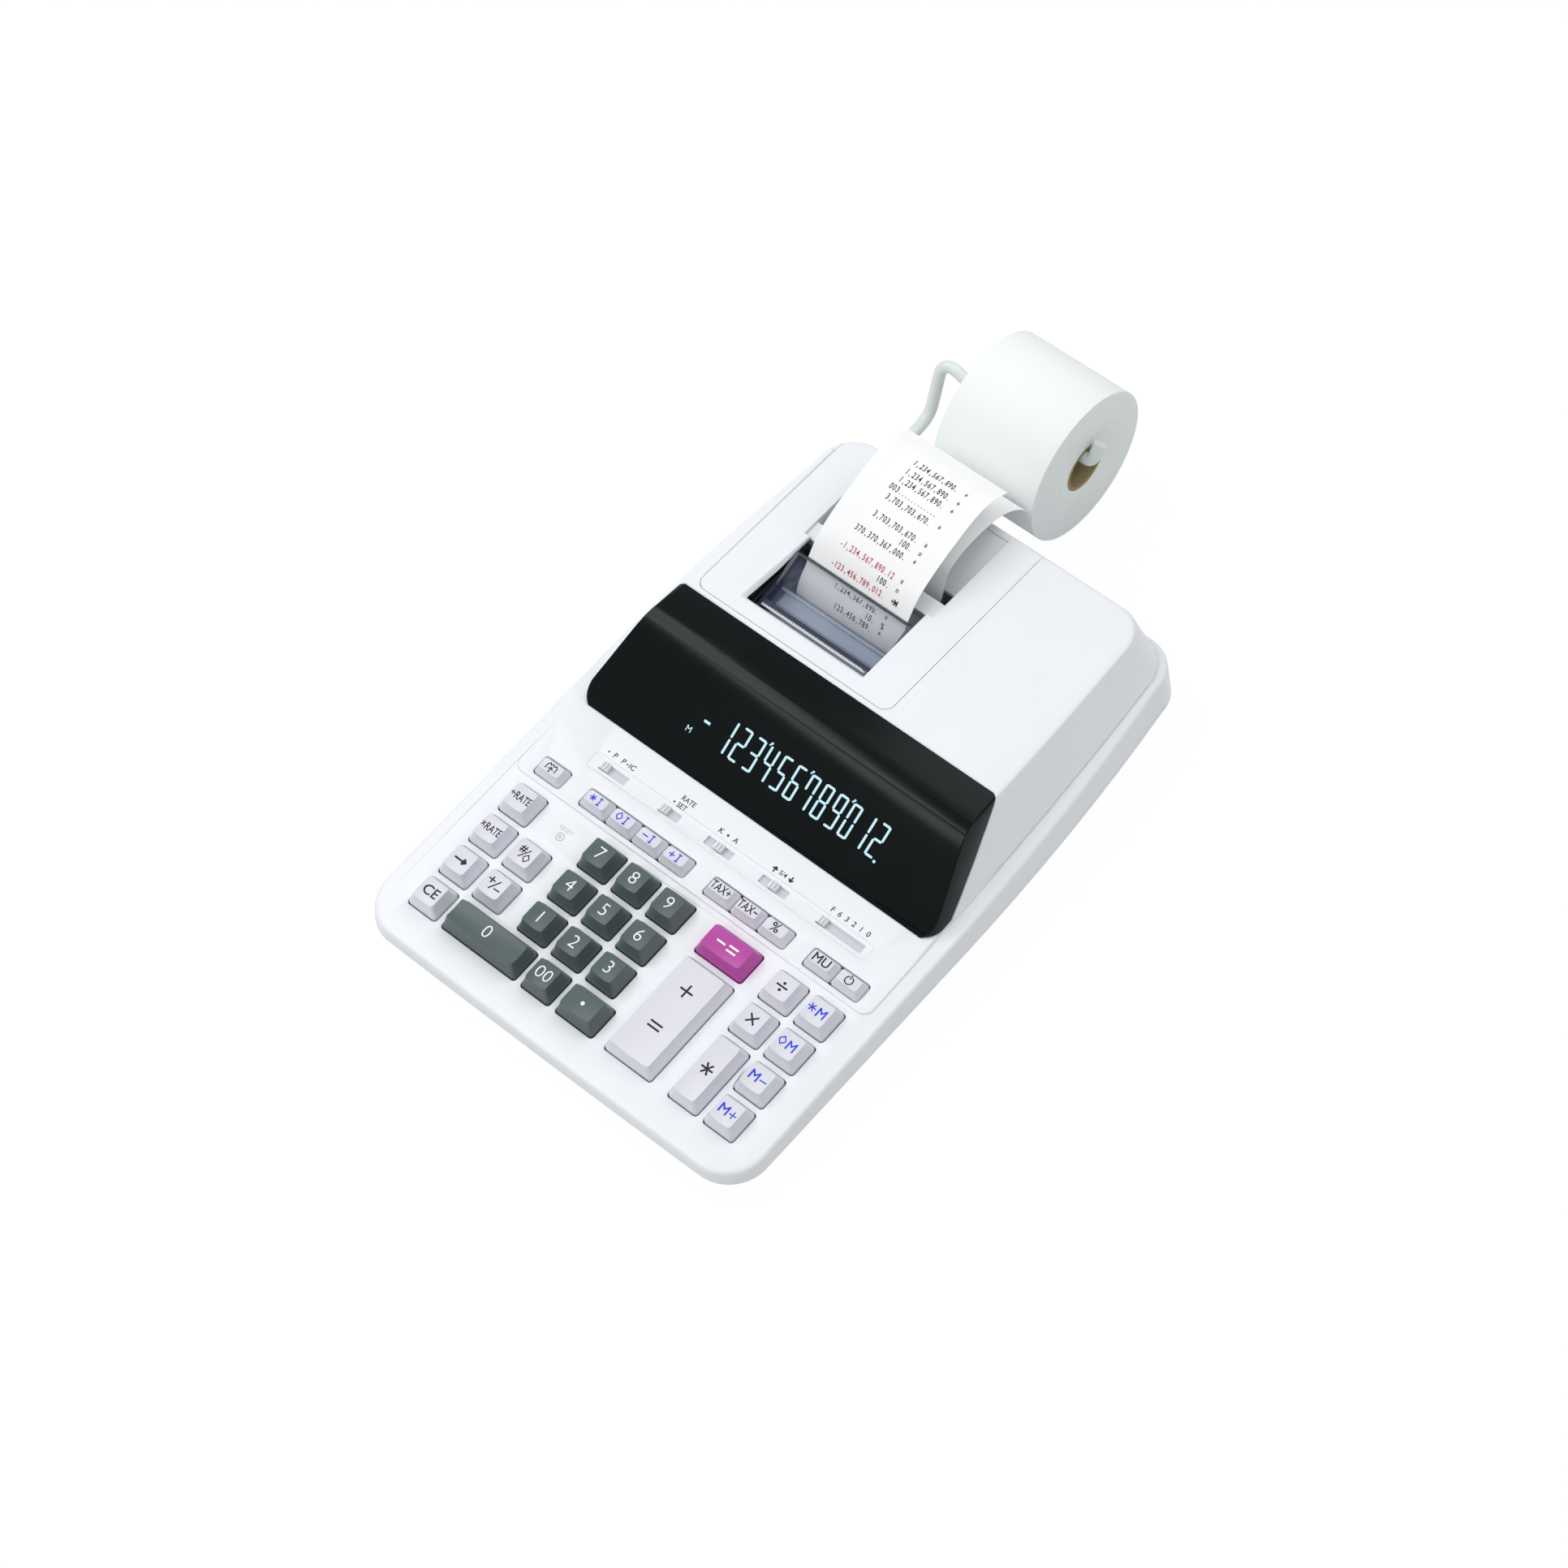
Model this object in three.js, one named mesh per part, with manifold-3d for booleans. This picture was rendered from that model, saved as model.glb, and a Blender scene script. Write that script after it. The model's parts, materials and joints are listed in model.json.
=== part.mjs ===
// Desk printing calculator: sloping key deck, tinted display window, built-in
// tape printer and a paper roll carried on a bent wire arm behind the case.
// Millimetres, +Z up, +X to the right of someone at the keys, +Y to the back.
// The origin is the middle of the footprint, on the surface the feet stand on.
//
// Most pieces are drawn in the deck frame: x across the case, y up the slope of
// the key deck from the middle of the front edge, z square to the deck. One group
// tilts that frame by DECK_SLOPE and lifts it by FRONT_HEIGHT.

import * as THREE from 'three';
import { mergeVertices } from 'three/addons/utils/BufferGeometryUtils.js';
import Module from 'manifold-3d';

const wasm = await Module();
wasm.setup();

// ---------------------------------------------------------------- dimensions

const GAP = 0.3; // clearance between touching pieces
const DECK_SLOPE = THREE.MathUtils.degToRad(4.7);
const FRONT_HEIGHT = 24; // deck above the table, at the front edge

// case, seen from above the deck
const CASE_HALF_WIDTH = 110; // at the deck rim
const CASE_FRONT = 1.2; // rim, in the middle of the front edge
const CASE_LENGTH = 318.8; // rim, front to back
const CASE_REAR = CASE_FRONT + CASE_LENGTH;
const CASE_FRONT_BOW = 0.5;
const CASE_FRONT_CORNER = 20;
const CASE_REAR_CORNER = 18;
const CASE_REAR_HALF_WIDTH = 100.5;
const TAPER_START = 150; // the sides run in towards the back from here
const CASE_WALL = 2.5;
const RIM_ROUND = 2.2;
const SIDE_FLARE = 0.8; // the side wall leans out by this much to its foot
const SIDE_HEIGHT = 8; // side wall at the front edge
const SIDE_HEIGHT_RISE = 0.049; // and how much taller it gets per mm of length

// lower case
const FOOT_HEIGHT = 3; // case bottom above the table
const FLOOR_WALL = 2.5;
const LOWER_INSET_TOP = 2.7; // behind the foot of the side wall
const LOWER_INSET_BOTTOM = 8.5;
const LOWER_CHAMFER = 3;

// raised switch platform and printer housing
const PLATFORM_FRONT = 97.5;
const PLATFORM_HALF_WIDTH = 102.6;
const PLATFORM_REAR_HALF_WIDTH = 97;
const PLATFORM_HEIGHT = 1;
const PLATFORM_CORNER = 5;
const HOUSING_FRONT = 140;
const HOUSING_TOP_HALF_WIDTH = 93;
const HOUSING_TOP_ROUND = 3;
const HOUSING_REAR_LEAN = 4;
const HOUSING_CORNER = 10;
const TOP_FRONT = 203; // front edge of the housing's flat top
const TOP_HEIGHT = 33; // height of that edge above the deck
const TOP_FALL = 0.082; // the top falls this much per mm towards the back

// display window
const WINDOW_FOOT = 140.5; // front lower edge
const WINDOW_SIDE_FOOT = 155.5; // rear lower edge of the side cheeks
const WINDOW_TILT = THREE.MathUtils.degToRad(39.4);
const WINDOW_BROW_RADIUS = 26;
const WINDOW_BROW_RISE = 0.15; // the brow's curve ends just above the flat top, which trims it
const WINDOW_WALL = 2.2;
const BEZEL_WALL = 2.5;
const DISPLAY_HALF_WIDTH = 80;
const DISPLAY_THICKNESS = 7;
const DISPLAY_LENGTH = 30;

// keys
const KEY_WIDTH = 16.1;
const KEY_DEPTH = 15.8;
const KEY_PITCH = 19.6; // from row to row
const KEY_FRONT = 18.5; // front edge of the first row
const KEY_TRAVEL = 2.8;
const KEY_CLEARANCE = 0.5; // round each key in its hole
const KEY_CORNER = 1.6;
const KEY_FLANGE = 1.3; // stop lip, wider than the hole at front and back
const KEY_FLANGE_THICKNESS = 1.3;
const KEY_STEM = 4;
const KEY_LEAN_DARK = 2.3; // the sides lean in by this much to the top
const KEY_LEAN_LIGHT = 1.7;
const KEY_TOP_ROUND = 0.8;
const KEY_TOP_SHIFT = 0.5; // the top sits this much further back than the foot
const KEY_HEIGHT_DARK = 8.6;
const KEY_HEIGHT_LIGHT = 7.2;
const KEY_HEIGHT_SMALL = 5.2;
const SMALL_KEY_FRONT = 100.6;
const SMALL_KEY_WIDTH = 15.1;
const SMALL_KEY_DEPTH = 9.4;
const SMALL_KEY_PITCH = 15.5;

// slide switches
const SWITCH_Y = 121.7;
const SWITCH_STRIP_LEFT = -77;
const SWITCH_STRIP_RIGHT = 84;
const SWITCH_STRIP_DEPTH = 0.4;
const SWITCH_STRIP_HALF_WIDTH = 4.2;
const SWITCH_SLOT_HALF_WIDTH = 2.1;
const SWITCH_KNOB_LENGTH = 4.6;
const SWITCH_KNOB_HEIGHT = 2.6;
const SWITCH_BASE_OVERLAP = 1.6;

// key contacts and main board
const MAT_THICKNESS = 1.6;
const BOARD_THICKNESS = 1.6;
const BOARD_HALF_WIDTH = 94;
const BOARD_FRONT = 20;
const BOARD_REAR = 196;
const MAT_HALF_WIDTH = 92;
const MAT_FRONT = 16;
const MAT_REAR = 113;
const POST_RADIUS = 2.5;

// printer cover and its openings
const COVER_LEFT = -83.3;
const COVER_RIGHT = 27.3;
const COVER_FRONT = 205.6;
const COVER_WALL = 2.5;
const COVER_CORNER = 5;
const COVER_SKIRT = 16; // how far the cover reaches down the rear wall
const TAPE_CENTRE = -26.7; // middle of the tape window
const TAPE_WINDOW_WIDTH = 67.6;
const TAPE_WINDOW_FRONT = 216;
const TAPE_WINDOW_REAR = 257;
const TAPE_WINDOW_BEVEL = 3;
const TROUGH_WIDTH = 74.4;
const TROUGH_DROP = 11.5;
const CROSSBAR_LENGTH = 9;
const CROSSBAR_DROP = 2.2;
const CROSSBAR_HEIGHT = 6;
const INLET_LENGTH = 11;

// printer mechanism
const CHASSIS_WALL = 2.2;
const CHASSIS_FLOOR = -12; // above the deck plane
const CHASSIS_FRONT = 212;
const CHASSIS_REAR = 268;
const CHASSIS_TOP = 22.5;
const PLATEN_Y = 245.5;
const PLATEN_Z = 9;
const PLATEN_RADIUS = 8;
const PLATEN_SHAFT = 3;
const INK_Y = 224.5;
const INK_Z = 4.5;
const INK_RADIUS = 6.5;
const INK_SHAFT = 2.2;
const SHAFT_CLEARANCE = 0.25;
const CUTTER_WALL = 1.8;
const CUTTER_PIN = 1.3;
const CUTTER_PIN_Y = 219.6;
const CUTTER_PIN_Z = 19.6;
const CUTTER_EDGE_Y = 247.2;
const CUTTER_EDGE_Z = 29;

// paper
const PAPER_WIDTH = 57.5;
const PAPER_THICKNESS = 0.25;
const ROLL_RADIUS = 39;
const ROLL_Y = CASE_REAR + 52.5;
const ROLL_Z = 2.5;
const CORE_RADIUS = 12.7;
const CORE_WALL = 1.8;

// roll arm
const ARM_RADIUS = 3;
const ARM_X = -80;
const ARM_WALL_Z = -14;
const ARM_BEND = 7;
const ARM_HUMP = 7; // the shoulder stands above the part inside the core
const ARM_HUMP_BACK = 1;
const ARM_SHOULDER_X = -62;

// mains lead gland and feet
const GLAND_X = 62;
const GLAND_RADIUS = 6;
const GLAND_BORE = 3;
const FOOT_THICKNESS = 3.2;
const FOOT_WIDTH = 9;
const FOOT_LENGTH = 150;
const FOOT_RECESS = 0.5;
const FOOT_SETBACK_FRONT = 24;
const FOOT_SETBACK_REAR = 26;

const WELD = 0.01; // corners nearer than this become one after the cuts
const ARC_STEPS = 8; // facets in a quarter turn of the case outline

// the reset pinhole
const RESET_X = -61.7;
const RESET_Y = 83.4;
const RESET_RADIUS = 1;

// ------------------------------------------------------------ solid modelling

function solidOf(geometry) {
  const bare = geometry.clone();
  bare.deleteAttribute('normal');
  bare.deleteAttribute('uv');
  const merged = mergeVertices(bare, 1e-4);
  return new wasm.Manifold(new wasm.Mesh({
    numProp: 3,
    vertProperties: new Float32Array(merged.attributes.position.array),
    triVerts: new Uint32Array(merged.index.array),
  }));
}

function geometryOf(solid) {
  const mesh = solid.simplify(WELD).getMesh();
  const geometry = new THREE.BufferGeometry();
  geometry.setAttribute('position', new THREE.BufferAttribute(mesh.vertProperties, 3));
  geometry.setIndex(new THREE.BufferAttribute(mesh.triVerts, 1));
  geometry.computeVertexNormals();
  return geometry;
}

function box(x0, x1, y0, y1, z0, z1) {
  const geometry = new THREE.BoxGeometry(x1 - x0, y1 - y0, z1 - z0);
  return solidOf(geometry.translate((x0 + x1) / 2, (y0 + y1) / 2, (z0 + z1) / 2));
}

// a cylinder lying along X from x0 to x1
function rod(radius, x0, x1, y, z, sides = 24) {
  const geometry = new THREE.CylinderGeometry(radius, radius, x1 - x0, sides);
  return solidOf(geometry.rotateZ(Math.PI / 2).translate((x0 + x1) / 2, y, z));
}

// a cylinder standing along Z from z0 to z1
function post(radius, x, y, z0, z1, sides = 16) {
  const geometry = new THREE.CylinderGeometry(radius, radius, z1 - z0, sides);
  return solidOf(geometry.rotateX(Math.PI / 2).translate(x, y, (z0 + z1) / 2));
}

// a side view in (y, z), as [y, z] points, pulled out from x0 to x1
function sidePrism(points, x0, x1) {
  const shape = new THREE.Shape(points.map(([y, z]) => new THREE.Vector2(y, z)));
  const geometry = new THREE.ExtrudeGeometry(shape, { depth: x1 - x0, bevelEnabled: false });
  const toSideView = new THREE.Matrix4().makeBasis(
    new THREE.Vector3(0, 1, 0), new THREE.Vector3(0, 0, 1), new THREE.Vector3(1, 0, 0));
  return solidOf(geometry.applyMatrix4(toSideView).translate(x0, 0, 0));
}

// a plan outline carried through several levels; each level is a function that
// places an outline point (x, y) as [x, y, z]
function loft(shape, levels, curveSegments = ARC_STEPS) {
  const steps = levels.length - 1;
  const options = { depth: steps, steps, bevelEnabled: false, curveSegments };
  const geometry = new THREE.ExtrudeGeometry(shape, options);
  const position = geometry.attributes.position;
  for (let i = 0; i < position.count; i += 1) {
    const level = levels[Math.round(position.getZ(i))];
    position.setXYZ(i, ...level(position.getX(i), position.getY(i)));
  }
  return solidOf(geometry);
}

function roundedRect(x0, x1, y0, y1, r) {
  const shape = new THREE.Shape();
  shape.moveTo(x0 + r, y0);
  shape.absarc(x1 - r, y0 + r, r, -Math.PI / 2, 0);
  shape.absarc(x1 - r, y1 - r, r, 0, Math.PI / 2);
  shape.absarc(x0 + r, y1 - r, r, Math.PI / 2, Math.PI);
  shape.absarc(x0 + r, y0 + r, r, Math.PI, Math.PI * 1.5);
  return shape;
}

// straight-sided prism of a rounded rectangle
function roundedBlock(x0, x1, y0, y1, z0, z1, r, curveSegments = 2) {
  const shape = roundedRect(x0, x1, y0, y1, r);
  return loft(shape, [(x, y) => [x, y, z0], (x, y) => [x, y, z1]], curveSegments);
}

// ---------------------------------------------------------------- case shapes

const topHeightAt = (y) => TOP_HEIGHT - TOP_FALL * (y - TOP_FRONT);
const sideFootAt = (y) => -(SIDE_HEIGHT + SIDE_HEIGHT_RISE * y);

// height in the deck frame of a point that is `height` above the table
const aboveTable = (y, height) => (height - FRONT_HEIGHT - y * Math.sin(DECK_SLOPE))
  / Math.cos(DECK_SLOPE);

function caseOutline() {
  const shape = new THREE.Shape();
  const side = CASE_HALF_WIDTH - CASE_FRONT_CORNER;
  const front = CASE_FRONT + CASE_FRONT_BOW;
  const rearSide = CASE_REAR_HALF_WIDTH - CASE_REAR_CORNER;
  const rearStart = CASE_REAR - CASE_REAR_CORNER;
  const bend = (TAPER_START + rearStart) / 2;
  shape.moveTo(-side, front);
  shape.quadraticCurveTo(0, CASE_FRONT - CASE_FRONT_BOW, side, front);
  shape.absarc(side, front + CASE_FRONT_CORNER, CASE_FRONT_CORNER, -Math.PI / 2, 0);
  shape.lineTo(CASE_HALF_WIDTH, TAPER_START);
  shape.quadraticCurveTo(CASE_HALF_WIDTH, bend, CASE_REAR_HALF_WIDTH, rearStart);
  shape.absarc(rearSide, rearStart, CASE_REAR_CORNER, 0, Math.PI / 2);
  shape.absarc(-rearSide, rearStart, CASE_REAR_CORNER, Math.PI / 2, Math.PI);
  shape.quadraticCurveTo(-CASE_HALF_WIDTH, bend, -CASE_HALF_WIDTH, TAPER_START);
  shape.lineTo(-CASE_HALF_WIDTH, front + CASE_FRONT_CORNER);
  shape.absarc(-side, front + CASE_FRONT_CORNER, CASE_FRONT_CORNER, Math.PI, Math.PI * 1.5);
  return shape;
}

// the platform and the housing foot share one outline, from `front` to the back
function housingOutline(front, corner) {
  const shape = new THREE.Shape();
  const rear = CASE_REAR - RIM_ROUND;
  const rearStart = rear - CASE_REAR_CORNER;
  const rearSide = PLATFORM_REAR_HALF_WIDTH - CASE_REAR_CORNER;
  const bend = (TAPER_START + rearStart) / 2;
  const side = PLATFORM_HALF_WIDTH;
  shape.moveTo(-side + corner, front);
  shape.absarc(side - corner, front + corner, corner, -Math.PI / 2, 0);
  shape.lineTo(side, TAPER_START);
  shape.quadraticCurveTo(side, bend, PLATFORM_REAR_HALF_WIDTH, rearStart);
  shape.absarc(rearSide, rearStart, CASE_REAR_CORNER, 0, Math.PI / 2);
  shape.absarc(-rearSide, rearStart, CASE_REAR_CORNER, Math.PI / 2, Math.PI);
  shape.quadraticCurveTo(-PLATFORM_REAR_HALF_WIDTH, bend, -side, TAPER_START);
  shape.lineTo(-side, front + corner);
  shape.absarc(-side + corner, front + corner, corner, Math.PI, Math.PI * 1.5);
  return shape;
}

// planes that lie clear of the whole case, where cutting shapes can end
const CLEAR_SIDE = CASE_HALF_WIDTH + 10;
const CLEAR_FRONT = HOUSING_FRONT - 10;
const CLEAR_REAR = CASE_REAR + 20;
const CLEAR_TOP = TOP_HEIGHT + 10;

// grows or shrinks the case outline by `offset` all round
function grownCase(offset) {
  const middle = CASE_FRONT + CASE_LENGTH / 2;
  const scaleX = 1 + offset / CASE_HALF_WIDTH;
  const scaleY = 1 + offset / (CASE_LENGTH / 2);
  return (x, y) => [x * scaleX, middle + (y - middle) * scaleY];
}

function caseLevel(offset, height) {
  const grow = grownCase(offset);
  return (x, y) => {
    const [gx, gy] = grow(x, y);
    return [gx, gy, height(gy)];
  };
}

// the housing leans in from its foot to its top; `inset` is a wall thickness
function housingLevel(topHalfWidth, inset, height, rise) {
  const scaleX = (topHalfWidth - inset) / PLATFORM_HALF_WIDTH;
  const rearShift = inset + HOUSING_REAR_LEAN * rise;
  return (x, y) => {
    const along = Math.max(0, (y - TAPER_START) / (CASE_REAR - TAPER_START));
    const gy = y - rearShift * along;
    return [x * scaleX, gy, height(gy)];
  };
}

function housingEnvelope() {
  const outline = housingOutline(HOUSING_FRONT, HOUSING_CORNER);
  const top = HOUSING_TOP_HALF_WIDTH;
  const round = HOUSING_TOP_ROUND;
  return loft(outline, [
    housingLevel(PLATFORM_HALF_WIDTH - 0.4, 0, () => 0.5, 0),
    housingLevel(top, 0, (y) => topHeightAt(y) - round, 0.8),
    housingLevel(top, round * 0.3, (y) => topHeightAt(y) - round * 0.3, 0.95),
    housingLevel(top, round, topHeightAt, 1),
  ]);
}

function housingCavity(wall) {
  const outline = housingOutline(HOUSING_FRONT, HOUSING_CORNER);
  const foot = PLATFORM_HALF_WIDTH;
  return loft(outline, [
    housingLevel(foot, wall, () => -CASE_WALL - 1, 0),
    housingLevel(foot, wall, () => 0, 0),
    housingLevel(HOUSING_TOP_HALF_WIDTH, wall + 1, (y) => topHeightAt(y) - wall, 0.9),
  ]);
}

// ------------------------------------------------------- display window shapes

// the line that the window's cheeks and the bezel wall behind them share
const bezelSlope = (topHeightAt(TOP_FRONT) - PLATFORM_HEIGHT) / (TOP_FRONT - WINDOW_SIDE_FOOT);
const bezelYAt = (z) => WINDOW_SIDE_FOOT + (z - PLATFORM_HEIGHT) / bezelSlope;
const bezelShift = (distance) => distance * Math.hypot(1, bezelSlope) / bezelSlope;

// side view of the window's skin, moved in by `inset`
function windowProfile(inset) {
  const foot = new THREE.Vector2(WINDOW_FOOT, PLATFORM_HEIGHT + GAP);
  const along = new THREE.Vector2(Math.cos(WINDOW_TILT), Math.sin(WINDOW_TILT));
  const topTurn = Math.atan(TOP_FALL);
  const slope = Math.tan(WINDOW_TILT);
  const meetY = (TOP_HEIGHT + WINDOW_BROW_RISE + TOP_FALL * TOP_FRONT - foot.y + slope * foot.x)
    / (slope + TOP_FALL);
  const tangent = WINDOW_BROW_RADIUS * Math.tan((WINDOW_TILT + topTurn) / 2);
  const meet = new THREE.Vector2(meetY, topHeightAt(meetY) + WINDOW_BROW_RISE);
  const start = meet.clone().addScaledVector(along, -tangent);
  const inward = new THREE.Vector2(along.y, -along.x);
  const centre = start.clone().addScaledVector(inward, WINDOW_BROW_RADIUS);
  const points = [[foot.x + inset / Math.sin(WINDOW_TILT), foot.y]];
  const steps = 8;
  for (let i = 0; i <= steps; i += 1) {
    const turn = Math.PI / 2 + WINDOW_TILT - (WINDOW_TILT + topTurn) * (i / steps);
    const r = WINDOW_BROW_RADIUS - inset;
    points.push([centre.x + r * Math.cos(turn), centre.y + r * Math.sin(turn)]);
  }
  return points;
}

function displayWindow(envelope) {
  const outside = windowProfile(0);
  outside.push([outside.at(-1)[0] + 1, CLEAR_TOP], [bezelYAt(CLEAR_TOP), CLEAR_TOP]);
  outside.push([WINDOW_SIDE_FOOT, PLATFORM_HEIGHT + GAP]);
  const inside = windowProfile(WINDOW_WALL);
  const innerTop = inside.at(-1)[1];
  const behind = 20; // the hollow runs on behind the bezel line by this much
  const below = -5;
  inside.push([bezelYAt(innerTop) + behind, innerTop - TOP_FALL * behind]);
  inside.push([bezelYAt(below) + behind, below], [inside[0][0] + 1, below]);
  const halfInside = HOUSING_TOP_HALF_WIDTH - WINDOW_WALL - 3;
  const lean = (PLATFORM_HALF_WIDTH - HOUSING_TOP_HALF_WIDTH) / TOP_HEIGHT;
  const cheekRoom = loft(
    roundedRect(-halfInside, halfInside, HOUSING_FRONT, TOP_FRONT + 20, HOUSING_CORNER),
    [
      (x, y) => [x + Math.sign(x) * lean * (TOP_HEIGHT + 2), y, -2],
      (x, y) => [x, y, TOP_HEIGHT + 2],
    ], 3);
  const hollow = sidePrism(inside, -CLEAR_SIDE, CLEAR_SIDE).intersect(cheekRoom);
  return envelope.intersect(sidePrism(outside, -CLEAR_SIDE, CLEAR_SIDE)).subtract(hollow);
}

// everything in front of the bezel line, which the case leaves to the window
function windowSpace() {
  const shift = bezelShift(GAP);
  return sidePrism([
    [CLEAR_FRONT, PLATFORM_HEIGHT],
    [bezelYAt(PLATFORM_HEIGHT) + shift, PLATFORM_HEIGHT],
    [bezelYAt(CLEAR_TOP) + shift, CLEAR_TOP],
    [CLEAR_FRONT, CLEAR_TOP],
  ], -CLEAR_SIDE, CLEAR_SIDE);
}

// a block that stands on the platform, parallel to the window behind its skin
function displayModule() {
  const inset = (WINDOW_WALL + 1) / Math.sin(WINDOW_TILT);
  const z0 = PLATFORM_HEIGHT + GAP;
  const y0 = WINDOW_FOOT + inset;
  const run = DISPLAY_LENGTH * Math.cos(WINDOW_TILT);
  const rise = DISPLAY_LENGTH * Math.sin(WINDOW_TILT);
  const back = bezelShift(GAP + 0.3);
  const backZ = z0 + rise - DISPLAY_THICKNESS * 0.6;
  return sidePrism([
    [y0, z0],
    [bezelYAt(z0) - back, z0],
    [bezelYAt(backZ) - back, backZ],
    [y0 + run, z0 + rise],
  ], -DISPLAY_HALF_WIDTH, DISPLAY_HALF_WIDTH);
}

// ----------------------------------------------------------------- key layout

// columns are named by the x of their right-hand edge
const COLUMN = {
  a: -77.5, b: -57.4, c: -30.3, d: -10.3, e: 9.9, total: 48.7, g: 74.6, h: 94.6,
};
const TOTAL_KEY_WIDTH = 26.4;
const POINT_KEY_WIDTH = 21.2;
const POINT_KEY_RIGHT = 15;

const DARK = 'dark';
const LIGHT = 'light';
const RED = 'magenta';

function keyAt(name, right, row, options = {}) {
  const { width = KEY_WIDTH, rows = 1, tone = LIGHT } = options;
  const front = KEY_FRONT + row * KEY_PITCH;
  const depth = KEY_DEPTH + (rows - 1) * KEY_PITCH;
  const height = tone === DARK ? KEY_HEIGHT_DARK : KEY_HEIGHT_LIGHT;
  return { name, x0: right - width, x1: right, y0: front, y1: front + depth, height, tone };
}

function smallKeyAt(name, right) {
  const front = SMALL_KEY_FRONT;
  return {
    name, x0: right - SMALL_KEY_WIDTH, x1: right, y0: front, y1: front + SMALL_KEY_DEPTH,
    height: KEY_HEIGHT_SMALL, tone: LIGHT,
  };
}

const zeroWidth = COLUMN.c - (COLUMN.b - KEY_WIDTH);
const MAIN_KEYS = [
  keyAt('key_clear_entry', COLUMN.a, 0),
  keyAt('key_0', COLUMN.c, 0, { width: zeroWidth, tone: DARK }),
  keyAt('key_00', COLUMN.d, 0, { tone: DARK }),
  keyAt('key_point', POINT_KEY_RIGHT, 0, { width: POINT_KEY_WIDTH, tone: DARK }),
  keyAt('key_plus_equals', COLUMN.total, 0, { width: TOTAL_KEY_WIDTH, rows: 3 }),
  keyAt('key_total', COLUMN.g, 0, { rows: 2 }),
  keyAt('key_memory_plus', COLUMN.h, 0),
  keyAt('key_backspace', COLUMN.a, 1),
  keyAt('key_change_sign', COLUMN.b, 1),
  keyAt('key_1', COLUMN.c, 1, { tone: DARK }),
  keyAt('key_2', COLUMN.d, 1, { tone: DARK }),
  keyAt('key_3', COLUMN.e, 1, { tone: DARK }),
  keyAt('key_memory_minus', COLUMN.h, 1),
  keyAt('key_rate_multiply', COLUMN.a, 2),
  keyAt('key_subtotal', COLUMN.b, 2),
  keyAt('key_4', COLUMN.c, 2, { tone: DARK }),
  keyAt('key_5', COLUMN.d, 2, { tone: DARK }),
  keyAt('key_6', COLUMN.e, 2, { tone: DARK }),
  keyAt('key_multiply', COLUMN.g, 2),
  keyAt('key_memory_subtotal', COLUMN.h, 2),
  keyAt('key_rate_divide', COLUMN.a, 3),
  keyAt('key_7', COLUMN.c, 3, { tone: DARK }),
  keyAt('key_8', COLUMN.d, 3, { tone: DARK }),
  keyAt('key_9', COLUMN.e, 3, { tone: DARK }),
  keyAt('key_minus_equals', COLUMN.total, 3, { width: TOTAL_KEY_WIDTH, tone: RED }),
  keyAt('key_divide', COLUMN.g, 3),
  keyAt('key_memory_total', COLUMN.h, 3),
];

// each run of small keys shares one long hole
const SMALL_RUNS = [
  { right: -78.2, names: ['key_paper_feed'] },
  {
    right: -51.2,
    names: ['key_item_total', 'key_item_subtotal', 'key_item_minus', 'key_item_plus'],
  },
  { right: 21.8, names: ['key_tax_plus', 'key_tax_minus', 'key_percent'] },
  { right: 78.9, names: ['key_mark_up', 'key_power'] },
].map(({ right, names }) => names.map(
  (name, i) => smallKeyAt(name, right + i * SMALL_KEY_PITCH)));

const KEYS = [...MAIN_KEYS, ...SMALL_RUNS.flat()];

// holes in the deck: one for each main key, one for each run of small keys
const KEY_HOLES = [...MAIN_KEYS.map((key) => [key]), ...SMALL_RUNS];

const flangeTop = -CASE_WALL - GAP;
const stemFoot = flangeTop - KEY_FLANGE_THICKNESS - 1.3;
const matTop = stemFoot - KEY_TRAVEL - GAP;
const boardTop = matTop - MAT_THICKNESS - GAP;

// posts that hang from the deck between the keys and carry the main board
const BOARD_POSTS = [COLUMN.b + 5.5, POINT_KEY_RIGHT + 3.6].flatMap(
  (x) => [1, 3].map((row) => ({ x, y: KEY_FRONT + row * KEY_PITCH + KEY_DEPTH / 2 + 2 })));

// ------------------------------------------------------------- slide switches

// `at` is the knob's resting place, `stops` the x of its first and last stop
const SWITCHES = [
  { name: 'switch_print', at: -68.8, stops: [-68.8, -58.8] },
  { name: 'switch_rate_set', at: -33.6, stops: [-33.6, -27.6] },
  { name: 'switch_constant', at: -1.8, stops: [-6.8, 3.2] },
  { name: 'switch_rounding', at: 29.8, stops: [24.8, 34.8] },
  { name: 'switch_decimal', at: 57.7, stops: [57.7, 77.7] },
];
const platformBottom = -CASE_WALL;
const stripFloor = PLATFORM_HEIGHT - SWITCH_STRIP_DEPTH;

function switchSlot({ stops }) {
  const end = SWITCH_KNOB_LENGTH / 2 + GAP;
  return box(stops[0] - end, stops[1] + end,
    SWITCH_Y - SWITCH_SLOT_HALF_WIDTH, SWITCH_Y + SWITCH_SLOT_HALF_WIDTH,
    platformBottom - 1, PLATFORM_HEIGHT + 1);
}

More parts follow.
